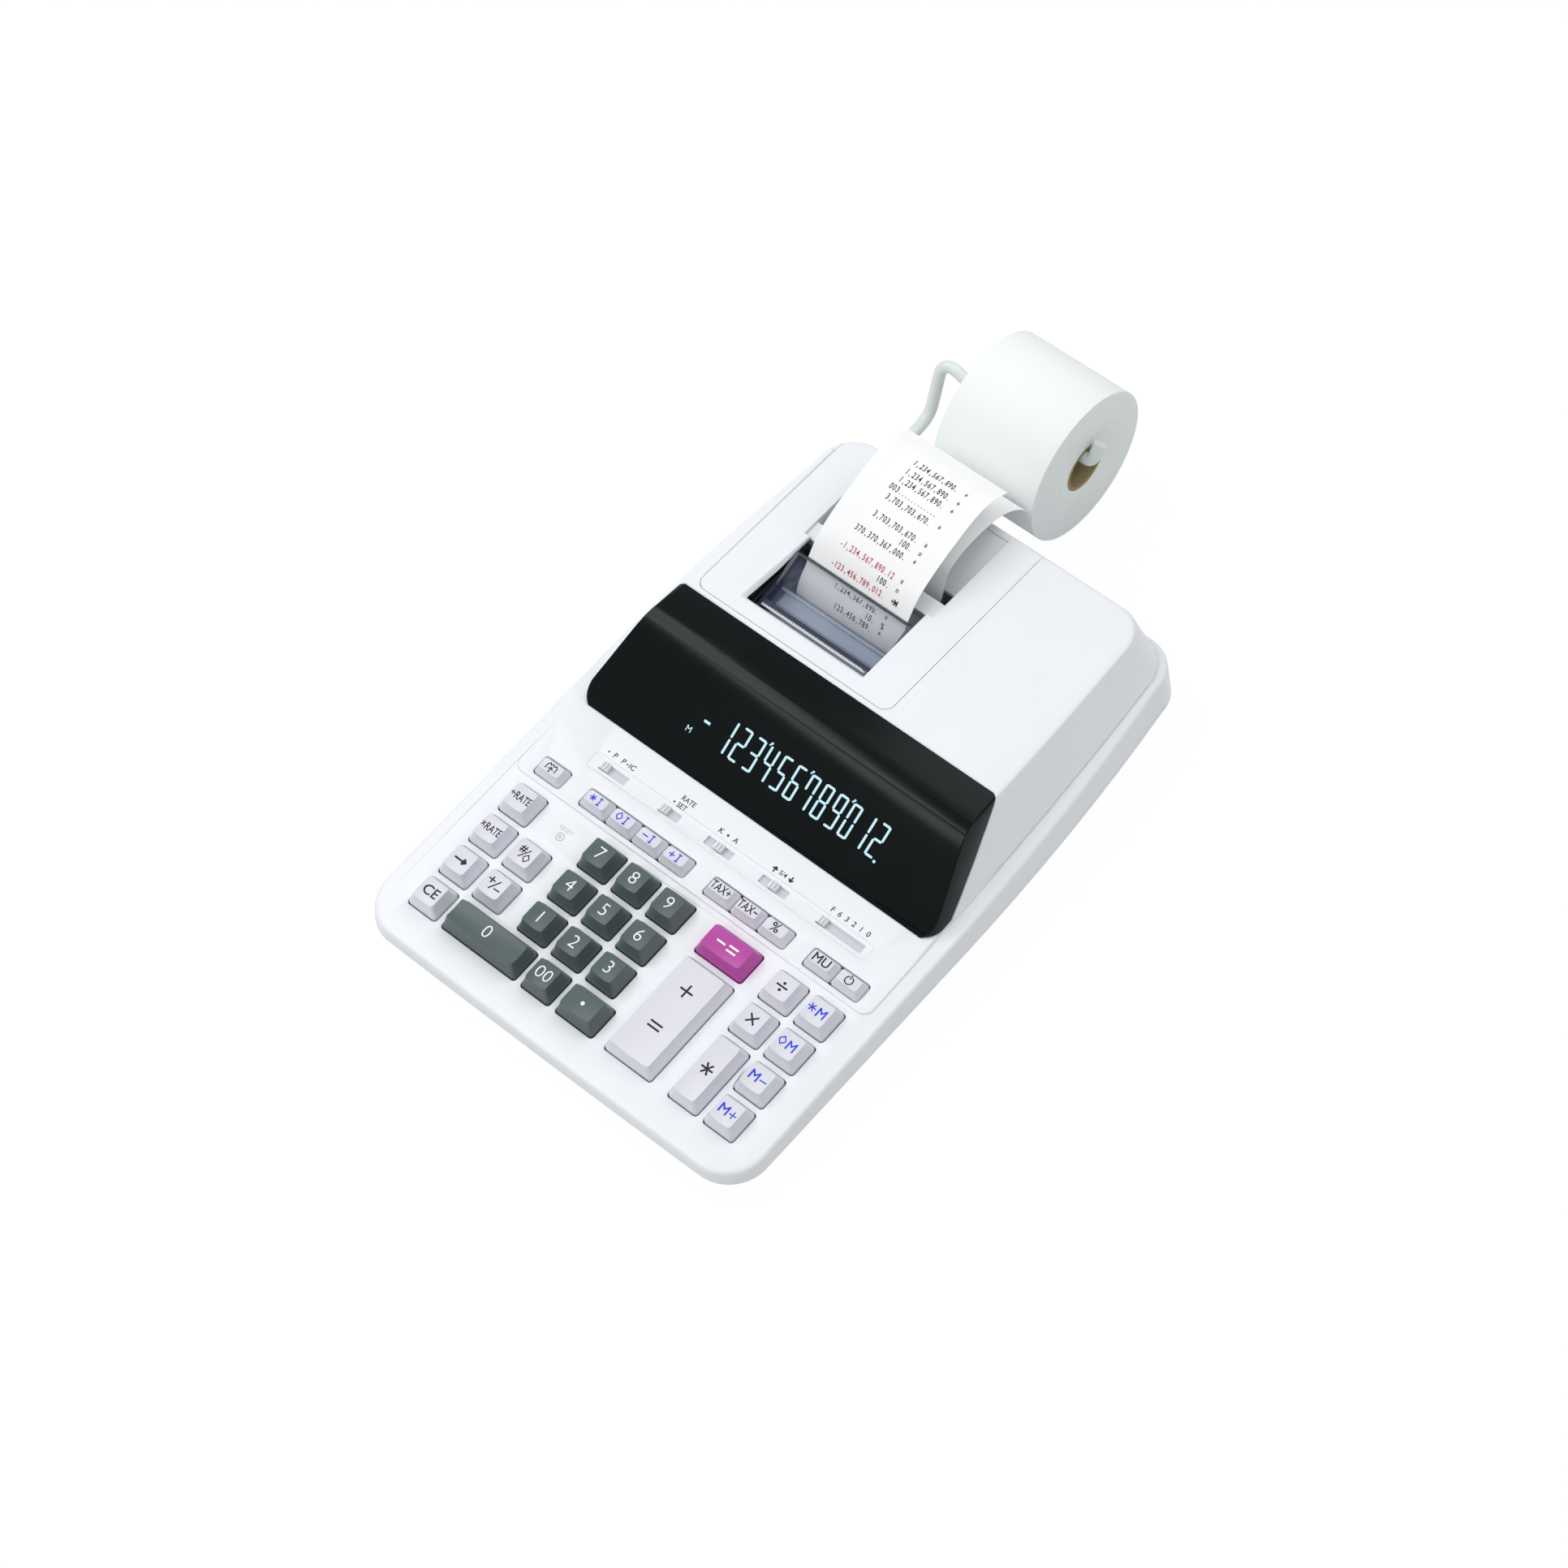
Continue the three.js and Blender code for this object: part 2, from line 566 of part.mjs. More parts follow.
function switchKnob() {
  const half = SWITCH_KNOB_LENGTH / 2;
  const width = SWITCH_SLOT_HALF_WIDTH - GAP;
  const grip = sidePrism([
    [-width, platformBottom - GAP - 0.5],
    [width, platformBottom - GAP - 0.5],
    [width, stripFloor + SWITCH_KNOB_HEIGHT - 0.5],
    [width - 0.5, stripFloor + SWITCH_KNOB_HEIGHT],
    [-width + 0.5, stripFloor + SWITCH_KNOB_HEIGHT],
    [-width, stripFloor + SWITCH_KNOB_HEIGHT - 0.5],
  ], -half, half);
  const base = width + SWITCH_BASE_OVERLAP;
  return grip.add(box(-half, half, -base, base, platformBottom - GAP - 1.2, platformBottom - GAP));
}

// ------------------------------------------------------------------- the keys

// a cap with an upright skirt, sides that lean in and a smaller top, on a stem
function keyCap({ x0, x1, y0, y1, height, tone }) {
  const halfX = (x1 - x0) / 2;
  const halfY = (y1 - y0) / 2;
  const lean = tone === DARK ? KEY_LEAN_DARK : KEY_LEAN_LIGHT;
  const level = (amount, shift, z) => (x, y) => [
    x * (1 - amount / halfX),
    y * (1 - amount / halfY) + shift,
    z,
  ];
  const cap = loft(roundedRect(-halfX, halfX, -halfY, halfY, KEY_CORNER), [
    level(0, 0, flangeTop - KEY_FLANGE_THICKNESS),
    level(0, 0, KEY_TOP_ROUND),
    level(lean, KEY_TOP_SHIFT, height - KEY_TOP_ROUND),
    level(lean + KEY_TOP_SHIFT, KEY_TOP_SHIFT, height),
  ], 1);
  const lip = KEY_CLEARANCE + KEY_FLANGE;
  const flange = box(-halfX + 1, halfX - 1, -halfY - lip, halfY + lip,
    flangeTop - KEY_FLANGE_THICKNESS, flangeTop);
  const stem = box(-KEY_STEM / 2, KEY_STEM / 2, -KEY_STEM / 2, KEY_STEM / 2,
    stemFoot, flangeTop);
  return cap.add(flange).add(stem);
}

function keyHole(keys) {
  const room = KEY_CLEARANCE;
  const { y0, y1 } = keys[0];
  return roundedBlock(keys[0].x0 - room, keys.at(-1).x1 + room, y0 - room, y1 + room,
    platformBottom - 1, PLATFORM_HEIGHT + 1, KEY_CORNER, 2);
}

// ----------------------------------------------------------------- upper case

const armHole = () => {
  const geometry = new THREE.CylinderGeometry(ARM_RADIUS + GAP, ARM_RADIUS + GAP, 60, 16);
  return solidOf(geometry.translate(ARM_X, CASE_REAR, ARM_WALL_Z));
};

const tapeWindowLeft = TAPE_CENTRE - TAPE_WINDOW_WIDTH / 2;
const tapeWindowRight = TAPE_CENTRE + TAPE_WINDOW_WIDTH / 2;

// the space of the printer cover, `gap` larger all round
function coverSpace(gap) {
  const z = topHeightAt(CASE_REAR) - COVER_SKIRT;
  return sidePrism([
    [COVER_FRONT - gap, topHeightAt(COVER_FRONT) - COVER_WALL - 4],
    [CASE_REAR - 20, z - gap],
    [CLEAR_REAR, z - gap],
    [CLEAR_REAR, CLEAR_TOP],
    [COVER_FRONT - gap, CLEAR_TOP],
  ], COVER_LEFT - gap, COVER_RIGHT + gap).intersect(roundedBlock(
    COVER_LEFT - gap, COVER_RIGHT + gap, COVER_FRONT - gap, CLEAR_REAR + COVER_CORNER * 2,
    -CLEAR_TOP, CLEAR_TOP, COVER_CORNER + gap, 4));
}

// a ledge under the edge of the opening that the cover lies on
function coverLedge() {
  const drop = COVER_WALL + GAP;
  const wide = 3;
  const strip = (x0, x1, y0, y1) => sidePrism([
    [y0, topHeightAt(y0) - drop - 2],
    [y1, topHeightAt(y1) - drop - 2],
    [y1, topHeightAt(y1) - drop],
    [y0, topHeightAt(y0) - drop],
  ], x0, x1);
  const rear = CASE_REAR - 80;
  const left = strip(COVER_LEFT - wide, COVER_LEFT + wide, COVER_FRONT, rear);
  const right = strip(COVER_RIGHT - wide, COVER_RIGHT + wide, COVER_FRONT, rear);
  const front = strip(COVER_LEFT - wide, COVER_RIGHT + wide,
    COVER_FRONT - wide, COVER_FRONT + wide);
  return left.add(right).add(front);
}

function upperCase(envelope) {
  const outline = caseOutline();
  const flat = (z) => () => z;
  const shell = loft(outline, [
    caseLevel(SIDE_FLARE, sideFootAt),
    caseLevel(0, flat(-RIM_ROUND)),
    caseLevel(-RIM_ROUND * 0.13, flat(-RIM_ROUND * 0.5)),
    caseLevel(-RIM_ROUND * 0.5, flat(-RIM_ROUND * 0.13)),
    caseLevel(-RIM_ROUND, flat(0)),
  ]);
  const inside = loft(outline, [
    caseLevel(SIDE_FLARE - CASE_WALL, (y) => sideFootAt(y) - 1),
    caseLevel(-CASE_WALL, flat(-CASE_WALL)),
  ]);
  const platform = loft(housingOutline(PLATFORM_FRONT, PLATFORM_CORNER), [
    (x, y) => [x, y, -1],
    (x, y) => [x, y, PLATFORM_HEIGHT - 0.4],
    (x, y) => [x * 0.996, y < TAPER_START ? y + 0.4 : y - 0.4, PLATFORM_HEIGHT],
  ]);
  const bezel = bezelShift(GAP + BEZEL_WALL);
  const roomFloor = -CASE_WALL - 2;
  const roomBehindBezel = sidePrism([
    [bezelYAt(roomFloor) + bezel, roomFloor],
    [CLEAR_REAR, roomFloor],
    [CLEAR_REAR, CLEAR_TOP],
    [bezelYAt(CLEAR_TOP) + bezel, CLEAR_TOP],
  ], -CLEAR_SIDE, CLEAR_SIDE);
  let body = shell.add(platform).add(envelope)
    .subtract(inside)
    .subtract(housingCavity(CASE_WALL).intersect(roomBehindBezel))
    .subtract(windowSpace())
    .subtract(coverSpace(GAP))
    .add(coverLedge());
  for (const keys of KEY_HOLES) {
    body = body.subtract(keyHole(keys));
  }
  body = body.subtract(roundedBlock(SWITCH_STRIP_LEFT, SWITCH_STRIP_RIGHT,
    SWITCH_Y - SWITCH_STRIP_HALF_WIDTH, SWITCH_Y + SWITCH_STRIP_HALF_WIDTH,
    stripFloor, PLATFORM_HEIGHT + 1, 1.5));
  for (const slide of SWITCHES) {
    body = body.subtract(switchSlot(slide));
  }
  for (const { x, y } of BOARD_POSTS) {
    body = body.add(post(POST_RADIUS, x, y, boardTop + GAP, -1));
  }
  return body.subtract(post(RESET_RADIUS, RESET_X, RESET_Y, platformBottom - 1, 1, 12))
    .subtract(armHole());
}

// ----------------------------------------------------------------- lower case

// posts on the floor that the printer chassis stands on
const CHASSIS_POST_INSET = 6.5;
const CHASSIS_POST_RADIUS = 4;
const CHASSIS_POSTS = [tapeWindowLeft + CHASSIS_POST_INSET, tapeWindowRight - CHASSIS_POST_INSET]
  .flatMap((x) => [CHASSIS_FRONT + CHASSIS_POST_INSET, CHASSIS_REAR - CHASSIS_POST_INSET]
    .map((y) => ({ x, y })));

function lowerCase() {
  const outline = caseOutline();
  const top = SIDE_FLARE - LOWER_INSET_TOP;
  const bottom = SIDE_FLARE - LOWER_INSET_BOTTOM;
  const table = (height) => (y) => aboveTable(y, height);
  const outside = loft(outline, [
    caseLevel(bottom - LOWER_CHAMFER, table(FOOT_HEIGHT)),
    caseLevel(bottom, table(FOOT_HEIGHT + LOWER_CHAMFER)),
    caseLevel(top, (y) => sideFootAt(y) - GAP),
  ]);
  const inside = loft(outline, [
    caseLevel(bottom - CASE_WALL, table(FOOT_HEIGHT + FLOOR_WALL)),
    caseLevel(top - CASE_WALL, (y) => sideFootAt(y) + 1),
  ]);
  let body = outside.subtract(inside);
  for (const { x, y } of CHASSIS_POSTS) {
    const floor = aboveTable(y, FOOT_HEIGHT + 1);
    body = body.add(post(CHASSIS_POST_RADIUS, x, y, floor, CHASSIS_FLOOR - GAP));
  }
  return body;
}

// -------------------------------------------------------------- printer cover

function printerCover(envelope) {
  const troughLeft = TAPE_CENTRE - TROUGH_WIDTH / 2;
  const troughRight = TAPE_CENTRE + TROUGH_WIDTH / 2;
  const inletFront = TAPE_WINDOW_REAR + CROSSBAR_LENGTH;
  const troughStart = inletFront + INLET_LENGTH;
  const troughFloor = new THREE.QuadraticBezierCurve(
    new THREE.Vector2(troughStart, topHeightAt(troughStart) - TROUGH_DROP),
    new THREE.Vector2(troughStart + 17, topHeightAt(troughStart) - 4),
    new THREE.Vector2(CASE_REAR + 4, topHeightAt(CASE_REAR) - 2),
  ).getPoints(8).map(({ x, y }) => [x, y]);
  const under = troughFloor.map(([y, z]) => [y, z - COVER_WALL]).reverse();
  const floorPlate = sidePrism([...troughFloor, ...under],
    troughLeft - COVER_WALL, troughRight + COVER_WALL);
  const cheek = (x) => sidePrism([
    [TAPE_WINDOW_REAR, topHeightAt(TAPE_WINDOW_REAR) - CROSSBAR_DROP - CROSSBAR_HEIGHT],
    [troughStart, topHeightAt(troughStart) - TROUGH_DROP - COVER_WALL],
    [troughStart + 12, topHeightAt(troughStart) - 8],
    [CASE_REAR - 10, topHeightAt(CASE_REAR) - 3.5],
    [CASE_REAR - 10, topHeightAt(CASE_REAR) - 1],
    [TAPE_WINDOW_REAR, topHeightAt(TAPE_WINDOW_REAR) - 1],
  ], x, x + COVER_WALL);
  const crossbarTop = topHeightAt(TAPE_WINDOW_REAR) - CROSSBAR_DROP;
  const crossbar = box(troughLeft - 1, troughRight + 1, TAPE_WINDOW_REAR, inletFront,
    crossbarTop - CROSSBAR_HEIGHT, crossbarTop);
  const trough = sidePrism([
    [TAPE_WINDOW_REAR, crossbarTop],
    [inletFront, crossbarTop],
    [inletFront, 0],
    [troughStart, 0],
    ...troughFloor,
    [CASE_REAR + 5, CLEAR_TOP],
    [TAPE_WINDOW_REAR, CLEAR_TOP],
  ], troughLeft, troughRight);
  const bevel = TAPE_WINDOW_BEVEL;
  const windowTop = topHeightAt(TAPE_WINDOW_FRONT);
  const tapeWindow = loft(
    roundedRect(tapeWindowLeft, tapeWindowRight, TAPE_WINDOW_FRONT, TAPE_WINDOW_REAR, 0.5),
    [
      (x, y) => [x, y, windowTop - 12],
      (x, y) => [x, y, windowTop - 4],
      (x, y) => [
        x < TAPE_CENTRE ? x - bevel * 1.2 : x,
        y < TAPE_WINDOW_REAR - 1 ? y - bevel * 1.2 : y,
        windowTop + 1,
      ],
    ], 1);
  const seat = coverSpace(0);
  return envelope.intersect(seat).subtract(housingCavity(COVER_WALL))
    .add(floorPlate.intersect(envelope)).add(cheek(troughLeft - COVER_WALL)).add(cheek(troughRight))
    .subtract(trough)
    .add(crossbar)
    .subtract(tapeWindow);
}

// ----------------------------------------------------------------- mechanism

function chassis() {
  const left = tapeWindowLeft - CHASSIS_WALL - 1;
  const right = tapeWindowRight + 1;
  const profile = [
    [CHASSIS_FRONT, CHASSIS_FLOOR],
    [CHASSIS_REAR, CHASSIS_FLOOR],
    [CHASSIS_REAR, PLATEN_Z - 4],
    [PLATEN_Y + PLATEN_RADIUS, PLATEN_Z + PLATEN_RADIUS],
    [PLATEN_Y + PLATEN_RADIUS, CHASSIS_TOP],
    [CHASSIS_FRONT + 3, CHASSIS_TOP],
    [CHASSIS_FRONT, CHASSIS_TOP - 6],
  ];
  const hole = (radius, y, z) => rod(radius, left - 1, right + CHASSIS_WALL + 1, y, z, 20);
  return sidePrism(profile, left, left + CHASSIS_WALL)
    .add(sidePrism(profile, right, right + CHASSIS_WALL))
    .add(box(left + 1, right + 1, CHASSIS_FRONT, CHASSIS_REAR,
      CHASSIS_FLOOR, CHASSIS_FLOOR + CHASSIS_WALL))
    .subtract(hole(PLATEN_SHAFT + SHAFT_CLEARANCE, PLATEN_Y, PLATEN_Z))
    .subtract(hole(INK_SHAFT + SHAFT_CLEARANCE, INK_Y, INK_Z))
    .subtract(hole(CUTTER_PIN + SHAFT_CLEARANCE, CUTTER_PIN_Y, CUTTER_PIN_Z));
}

// a roller on a shaft that reaches through both chassis walls, about the origin
function roller(radius, shaft) {
  const half = TAPE_WINDOW_WIDTH / 2;
  return rod(radius, -half + 3, half - 3, 0, 0)
    .add(rod(shaft, -half - 2 - CHASSIS_WALL, half + 2 + CHASSIS_WALL, 0, 0, 16));
}

// tear-off cutter, drawn about its pins: a bent plate with side cheeks
function paperCutter() {
  const half = TAPE_WINDOW_WIDTH / 2 - GAP;
  const edge = [CUTTER_EDGE_Y - CUTTER_PIN_Y, CUTTER_EDGE_Z - CUTTER_PIN_Z];
  const knee = [11.5, 4.4];
  const front = -2.2;
  const bottom = -2;
  const shoulder = 2.6; // height of the plate over the pins
  const lipFront = -0.6;
  const plate = sidePrism([
    [front, shoulder],
    knee,
    edge,
    [edge[0] - 0.8, edge[1] - CUTTER_WALL],
    [knee[0] + 0.3, knee[1] - CUTTER_WALL],
    [lipFront, shoulder - CUTTER_WALL],
    [lipFront, bottom],
    [front, bottom],
  ], -half, half);
  const cheek = (x) => sidePrism([
    [front, bottom],
    [4, bottom],
    [edge[0] - 6, edge[1] - 5],
    [edge[0] - 3, edge[1] - 1.6],
    [knee[0], knee[1] - 0.4],
    [front, shoulder - 0.4],
  ], x, x + CUTTER_WALL);
  const reach = TAPE_WINDOW_WIDTH / 2 + 1 + CHASSIS_WALL;
  return plate.add(cheek(-half)).add(cheek(half - CUTTER_WALL))
    .add(rod(CUTTER_PIN, -reach, -half + 1, 0, 0, 12))
    .add(rod(CUTTER_PIN, half - 1, reach, 0, 0, 12));
}

// ---------------------------------------------------------------------- paper

// one strip from the roll, over the cover, round the platen and out past the
// cutter; the route is its middle line in side view
function paperTape() {
  const overTop = (y, rise) => [y, topHeightAt(y) + rise];
  const wrap = PLATEN_RADIUS + GAP + PAPER_THICKNESS / 2;
  const route = [
    [ROLL_Y - ROLL_RADIUS - 1.1, ROLL_Z + 5],
    [ROLL_Y - ROLL_RADIUS - 2.2, ROLL_Z + 13],
    overTop(CASE_REAR + 3.5, 3.4),
    overTop(CASE_REAR - 8.5, 9.9),
    overTop(294, 11.5),
    overTop(280, 7.8),
    [274.5, 27.5],
    [270, 17],
    [262, 6],
  ];
  const turns = 8;
  for (let i = 0; i <= turns; i += 1) {
    const angle = -0.25 * Math.PI - (0.78 * Math.PI * i) / turns;
    route.push([PLATEN_Y + wrap * Math.cos(angle), PLATEN_Z + wrap * Math.sin(angle)]);
  }
  route.push([238.6, 15], [241.5, 20], [246.2, 25], [CUTTER_EDGE_Y + 1.6, CUTTER_EDGE_Z]);
  route.push([257, 37.5], [269, 43.5], [284.5, 48.5], [300, 51.5], [310, 50], [319.8, 45]);
  const left = [];
  const right = [];
  route.forEach(([y, z], i) => {
    const before = route[Math.max(0, i - 1)];
    const after = route[Math.min(route.length - 1, i + 1)];
    const length = Math.hypot(after[0] - before[0], after[1] - before[1]);
    const ny = -(after[1] - before[1]) / length * PAPER_THICKNESS / 2;
    const nz = (after[0] - before[0]) / length * PAPER_THICKNESS / 2;
    left.push([y + ny, z + nz]);
    right.push([y - ny, z - nz]);
  });
  return sidePrism([...left, ...right.reverse()], -PAPER_WIDTH / 2, PAPER_WIDTH / 2);
}

// a tube lying along X about the origin, `length` long
function ring(outer, inner, length, sides) {
  const profile = [
    [inner, -length / 2], [outer, -length / 2], [outer, length / 2], [inner, length / 2],
    [inner, -length / 2],
  ].map(([r, h]) => new THREE.Vector2(r, h));
  return solidOf(new THREE.LatheGeometry(profile, sides).rotateZ(Math.PI / 2));
}

// ------------------------------------------------------------------- roll arm

// one bent rod: out of the rear wall, up, through the core, and a turned-up tip
function rollArm() {
  const top = ROLL_Z + CORE_RADIUS - CORE_WALL - ARM_RADIUS - GAP;
  const tipX = TAPE_CENTRE + 1.2 + PAPER_WIDTH / 2 + 4;
  const corners = [
    [ARM_X, CASE_REAR - 9, ARM_WALL_Z],
    [ARM_X, ROLL_Y - 12.5, ARM_WALL_Z],
    [ARM_X, ROLL_Y + ARM_HUMP_BACK, top + ARM_HUMP],
    [ARM_SHOULDER_X, ROLL_Y, top],
    [tipX, ROLL_Y, top],
    [tipX + 0.5, ROLL_Y + 6, top + 8],
  ].map((p) => new THREE.Vector3(...p));
  const path = new THREE.CurvePath();
  let from = corners[0];
  for (let i = 1; i < corners.length - 1; i += 1) {
    const bend = i === corners.length - 2 ? ARM_BEND / 2 : ARM_BEND;
    const start = corners[i].clone().add(
      corners[i - 1].clone().sub(corners[i]).setLength(bend));
    const end = corners[i].clone().add(
      corners[i + 1].clone().sub(corners[i]).setLength(bend));
    path.add(new THREE.LineCurve3(from, start));
    path.add(new THREE.QuadraticBezierCurve3(start, corners[i], end));
    from = end;
  }
  path.add(new THREE.LineCurve3(from, corners.at(-1)));
  const section = new THREE.Shape();
  section.absarc(0, 0, ARM_RADIUS, 0, Math.PI * 2);
  return solidOf(new THREE.ExtrudeGeometry(section, {
    extrudePath: path, steps: 44, bevelEnabled: false, curveSegments: 5,
  }));
}

// -------------------------------------------------------------- lead and feet

// a bush in the rear wall of the lower case, where the mains lead would enter
const glandZ = aboveTable(CASE_REAR, FOOT_HEIGHT + 11);
const glandWallY = CASE_REAR - 3;

function gland() {
  const groove = GLAND_RADIUS - 1.2;
  const profile = [
    [GLAND_BORE, -6], [GLAND_RADIUS, -6], [GLAND_RADIUS, 5], [groove + 0.6, 8],
    [GLAND_BORE, 8], [GLAND_BORE, -6],
  ].map(([r, h]) => new THREE.Vector2(r, h));
  return solidOf(new THREE.LatheGeometry(profile, 20));
}

function glandHole() {
  const geometry = new THREE.CylinderGeometry(GLAND_RADIUS + GAP, GLAND_RADIUS + GAP, 24, 20);
  return solidOf(geometry.translate(GLAND_X, glandWallY, glandZ));
}

// ------------------------------------------------------------------- assembly

const MATERIAL = {
  white: { color: 0xecedf2, roughness: 0.45, metalness: 0 },
  side: { color: 0xe6e8ee, roughness: 0.5, metalness: 0 },
  lightKey: { color: 0xdcd9e4, roughness: 0.5, metalness: 0 },
  darkKey: { color: 0x586866, roughness: 0.5, metalness: 0 },
  redKey: { color: 0xb9469f, roughness: 0.45, metalness: 0 },
  window: { color: 0x111515, roughness: 0.1, metalness: 0 },
  smoke: { color: 0x6e7c92, roughness: 0.12, metalness: 0 },
  paper: { color: 0xf6f8f7, roughness: 0.9, metalness: 0 },
  core: { color: 0xaa966e, roughness: 0.9, metalness: 0 },
  arm: { color: 0xe1e8e6, roughness: 0.4, metalness: 0 },
  rubber: { color: 0x2b2d2e, roughness: 0.85, metalness: 0 },
  steel: { color: 0x8d9194, roughness: 0.35, metalness: 0.9 },
  black: { color: 0x15181a, roughness: 0.6, metalness: 0 },
  ink: { color: 0x202040, roughness: 0.8, metalness: 0 },
  board: { color: 0x2c6b45, roughness: 0.6, metalness: 0 },
  glass: { color: 0x1d2a2c, roughness: 0.2, metalness: 0 },
  mat: { color: 0x9a9da2, roughness: 0.8, metalness: 0 },
};

const calculator = new THREE.Group();
const deck = new THREE.Group();
deck.rotation.x = DECK_SLOPE;
deck.position.z = FRONT_HEIGHT;
calculator.add(deck);

function place(parent, name, solid, material, position = [0, 0, 0]) {
  const mesh = new THREE.Mesh(geometryOf(solid), new THREE.MeshStandardMaterial(material));
  mesh.name = name;
  mesh.position.set(...position);
  parent.add(mesh);
}

const envelope = housingEnvelope();

const footFront = [
  -FOOT_LENGTH / 2, FOOT_LENGTH / 2, FOOT_SETBACK_FRONT, FOOT_SETBACK_FRONT + FOOT_WIDTH,
];
const footRearY = CASE_REAR - FOOT_SETBACK_REAR;
const footRear = [
  -FOOT_LENGTH / 2, FOOT_LENGTH / 2, footRearY - FOOT_WIDTH, footRearY,
];

// the recess that a foot lies in, cut level with the table
function footRecess([x0, x1, y0, y1]) {
  const top = FOOT_HEIGHT + FOOT_RECESS;
  const level = box(x0 - GAP, x1 + GAP, y0 - GAP, y1 + GAP, -1, top);
  const toDeck = new THREE.Matrix4().makeRotationX(DECK_SLOPE).setPosition(0, 0, FRONT_HEIGHT)
    .invert();
  return level.transform(toDeck.elements);
}

place(deck, 'lower_case', lowerCase().subtract(glandHole())
  .subtract(footRecess(footFront)).subtract(footRecess(footRear)), MATERIAL.side);
place(deck, 'upper_case', upperCase(envelope), MATERIAL.white);
place(deck, 'display_window', displayWindow(envelope), MATERIAL.window);
place(deck, 'display_module', displayModule(), MATERIAL.glass);
place(deck, 'printer_cover', printerCover(envelope), MATERIAL.white);

const keyMaterial = {
  [DARK]: MATERIAL.darkKey, [LIGHT]: MATERIAL.lightKey, [RED]: MATERIAL.redKey,
};
for (const key of KEYS) {
  place(deck, key.name, keyCap(key), keyMaterial[key.tone],
    [(key.x0 + key.x1) / 2, (key.y0 + key.y1) / 2, 0]);
}
for (const slide of SWITCHES) {
  place(deck, slide.name, switchKnob(), MATERIAL.white, [slide.at, SWITCH_Y, 0]);
}

function sheet(halfWidth, front, rear, top, thickness) {
  return box(-halfWidth, halfWidth, front, rear, top - thickness, top);
}

let mat = sheet(MAT_HALF_WIDTH, MAT_FRONT, MAT_REAR, matTop, MAT_THICKNESS);
for (const { x, y } of BOARD_POSTS) {
  mat = mat.subtract(post(POST_RADIUS + 0.5, x, y, matTop - 5, matTop + 5));
}
place(deck, 'key_mat', mat, MATERIAL.mat);
place(deck, 'main_board',
  sheet(BOARD_HALF_WIDTH, BOARD_FRONT, BOARD_REAR, boardTop, BOARD_THICKNESS), MATERIAL.board);

place(deck, 'printer_chassis', chassis(), MATERIAL.steel);
place(deck, 'platen_roller', roller(PLATEN_RADIUS, PLATEN_SHAFT), MATERIAL.black,
  [TAPE_CENTRE, PLATEN_Y, PLATEN_Z]);
place(deck, 'ink_roller', roller(INK_RADIUS, INK_SHAFT), MATERIAL.ink,
  [TAPE_CENTRE, INK_Y, INK_Z]);
place(deck, 'paper_cutter', paperCutter(), MATERIAL.smoke,
  [TAPE_CENTRE, CUTTER_PIN_Y, CUTTER_PIN_Z]);

const paperCentre = TAPE_CENTRE + 1.2;
place(deck, 'paper_tape', paperTape(), MATERIAL.paper, [paperCentre, 0, 0]);
place(deck, 'paper_roll', ring(ROLL_RADIUS, CORE_RADIUS + GAP, PAPER_WIDTH, 48),
  MATERIAL.paper, [paperCentre, ROLL_Y, ROLL_Z]);
place(deck, 'roll_core', ring(CORE_RADIUS, CORE_RADIUS - CORE_WALL, PAPER_WIDTH, 32),
  MATERIAL.core, [paperCentre, ROLL_Y, ROLL_Z]);
place(deck, 'roll_arm', rollArm(), MATERIAL.arm);
place(deck, 'lead_gland', gland(), MATERIAL.rubber, [GLAND_X, glandWallY, glandZ]);

const footSolid = ([x0, x1, y0, y1]) => box(x0, x1, y0, y1, 0, FOOT_THICKNESS);
place(calculator, 'foot_front', footSolid(footFront), MATERIAL.rubber);
place(calculator, 'foot_rear', footSolid(footRear), MATERIAL.rubber);

// the origin is the middle of the footprint
const footprint = new THREE.Box3().setFromObject(calculator);
const middle = footprint.getCenter(new THREE.Vector3());
for (const piece of calculator.children) {
  piece.position.y -= middle.y;
}

export default calculator;
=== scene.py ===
"""Desk printing calculator: the finished look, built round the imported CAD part.

Pieces are modelled in millimetres in the deck frame, which is x across the case,
y up the slope of the key deck and z square to it, and are then settled into the
row frame, in metres.
"""

import json
import math
from contextlib import contextmanager

import bpy
from mathutils import Matrix, Vector

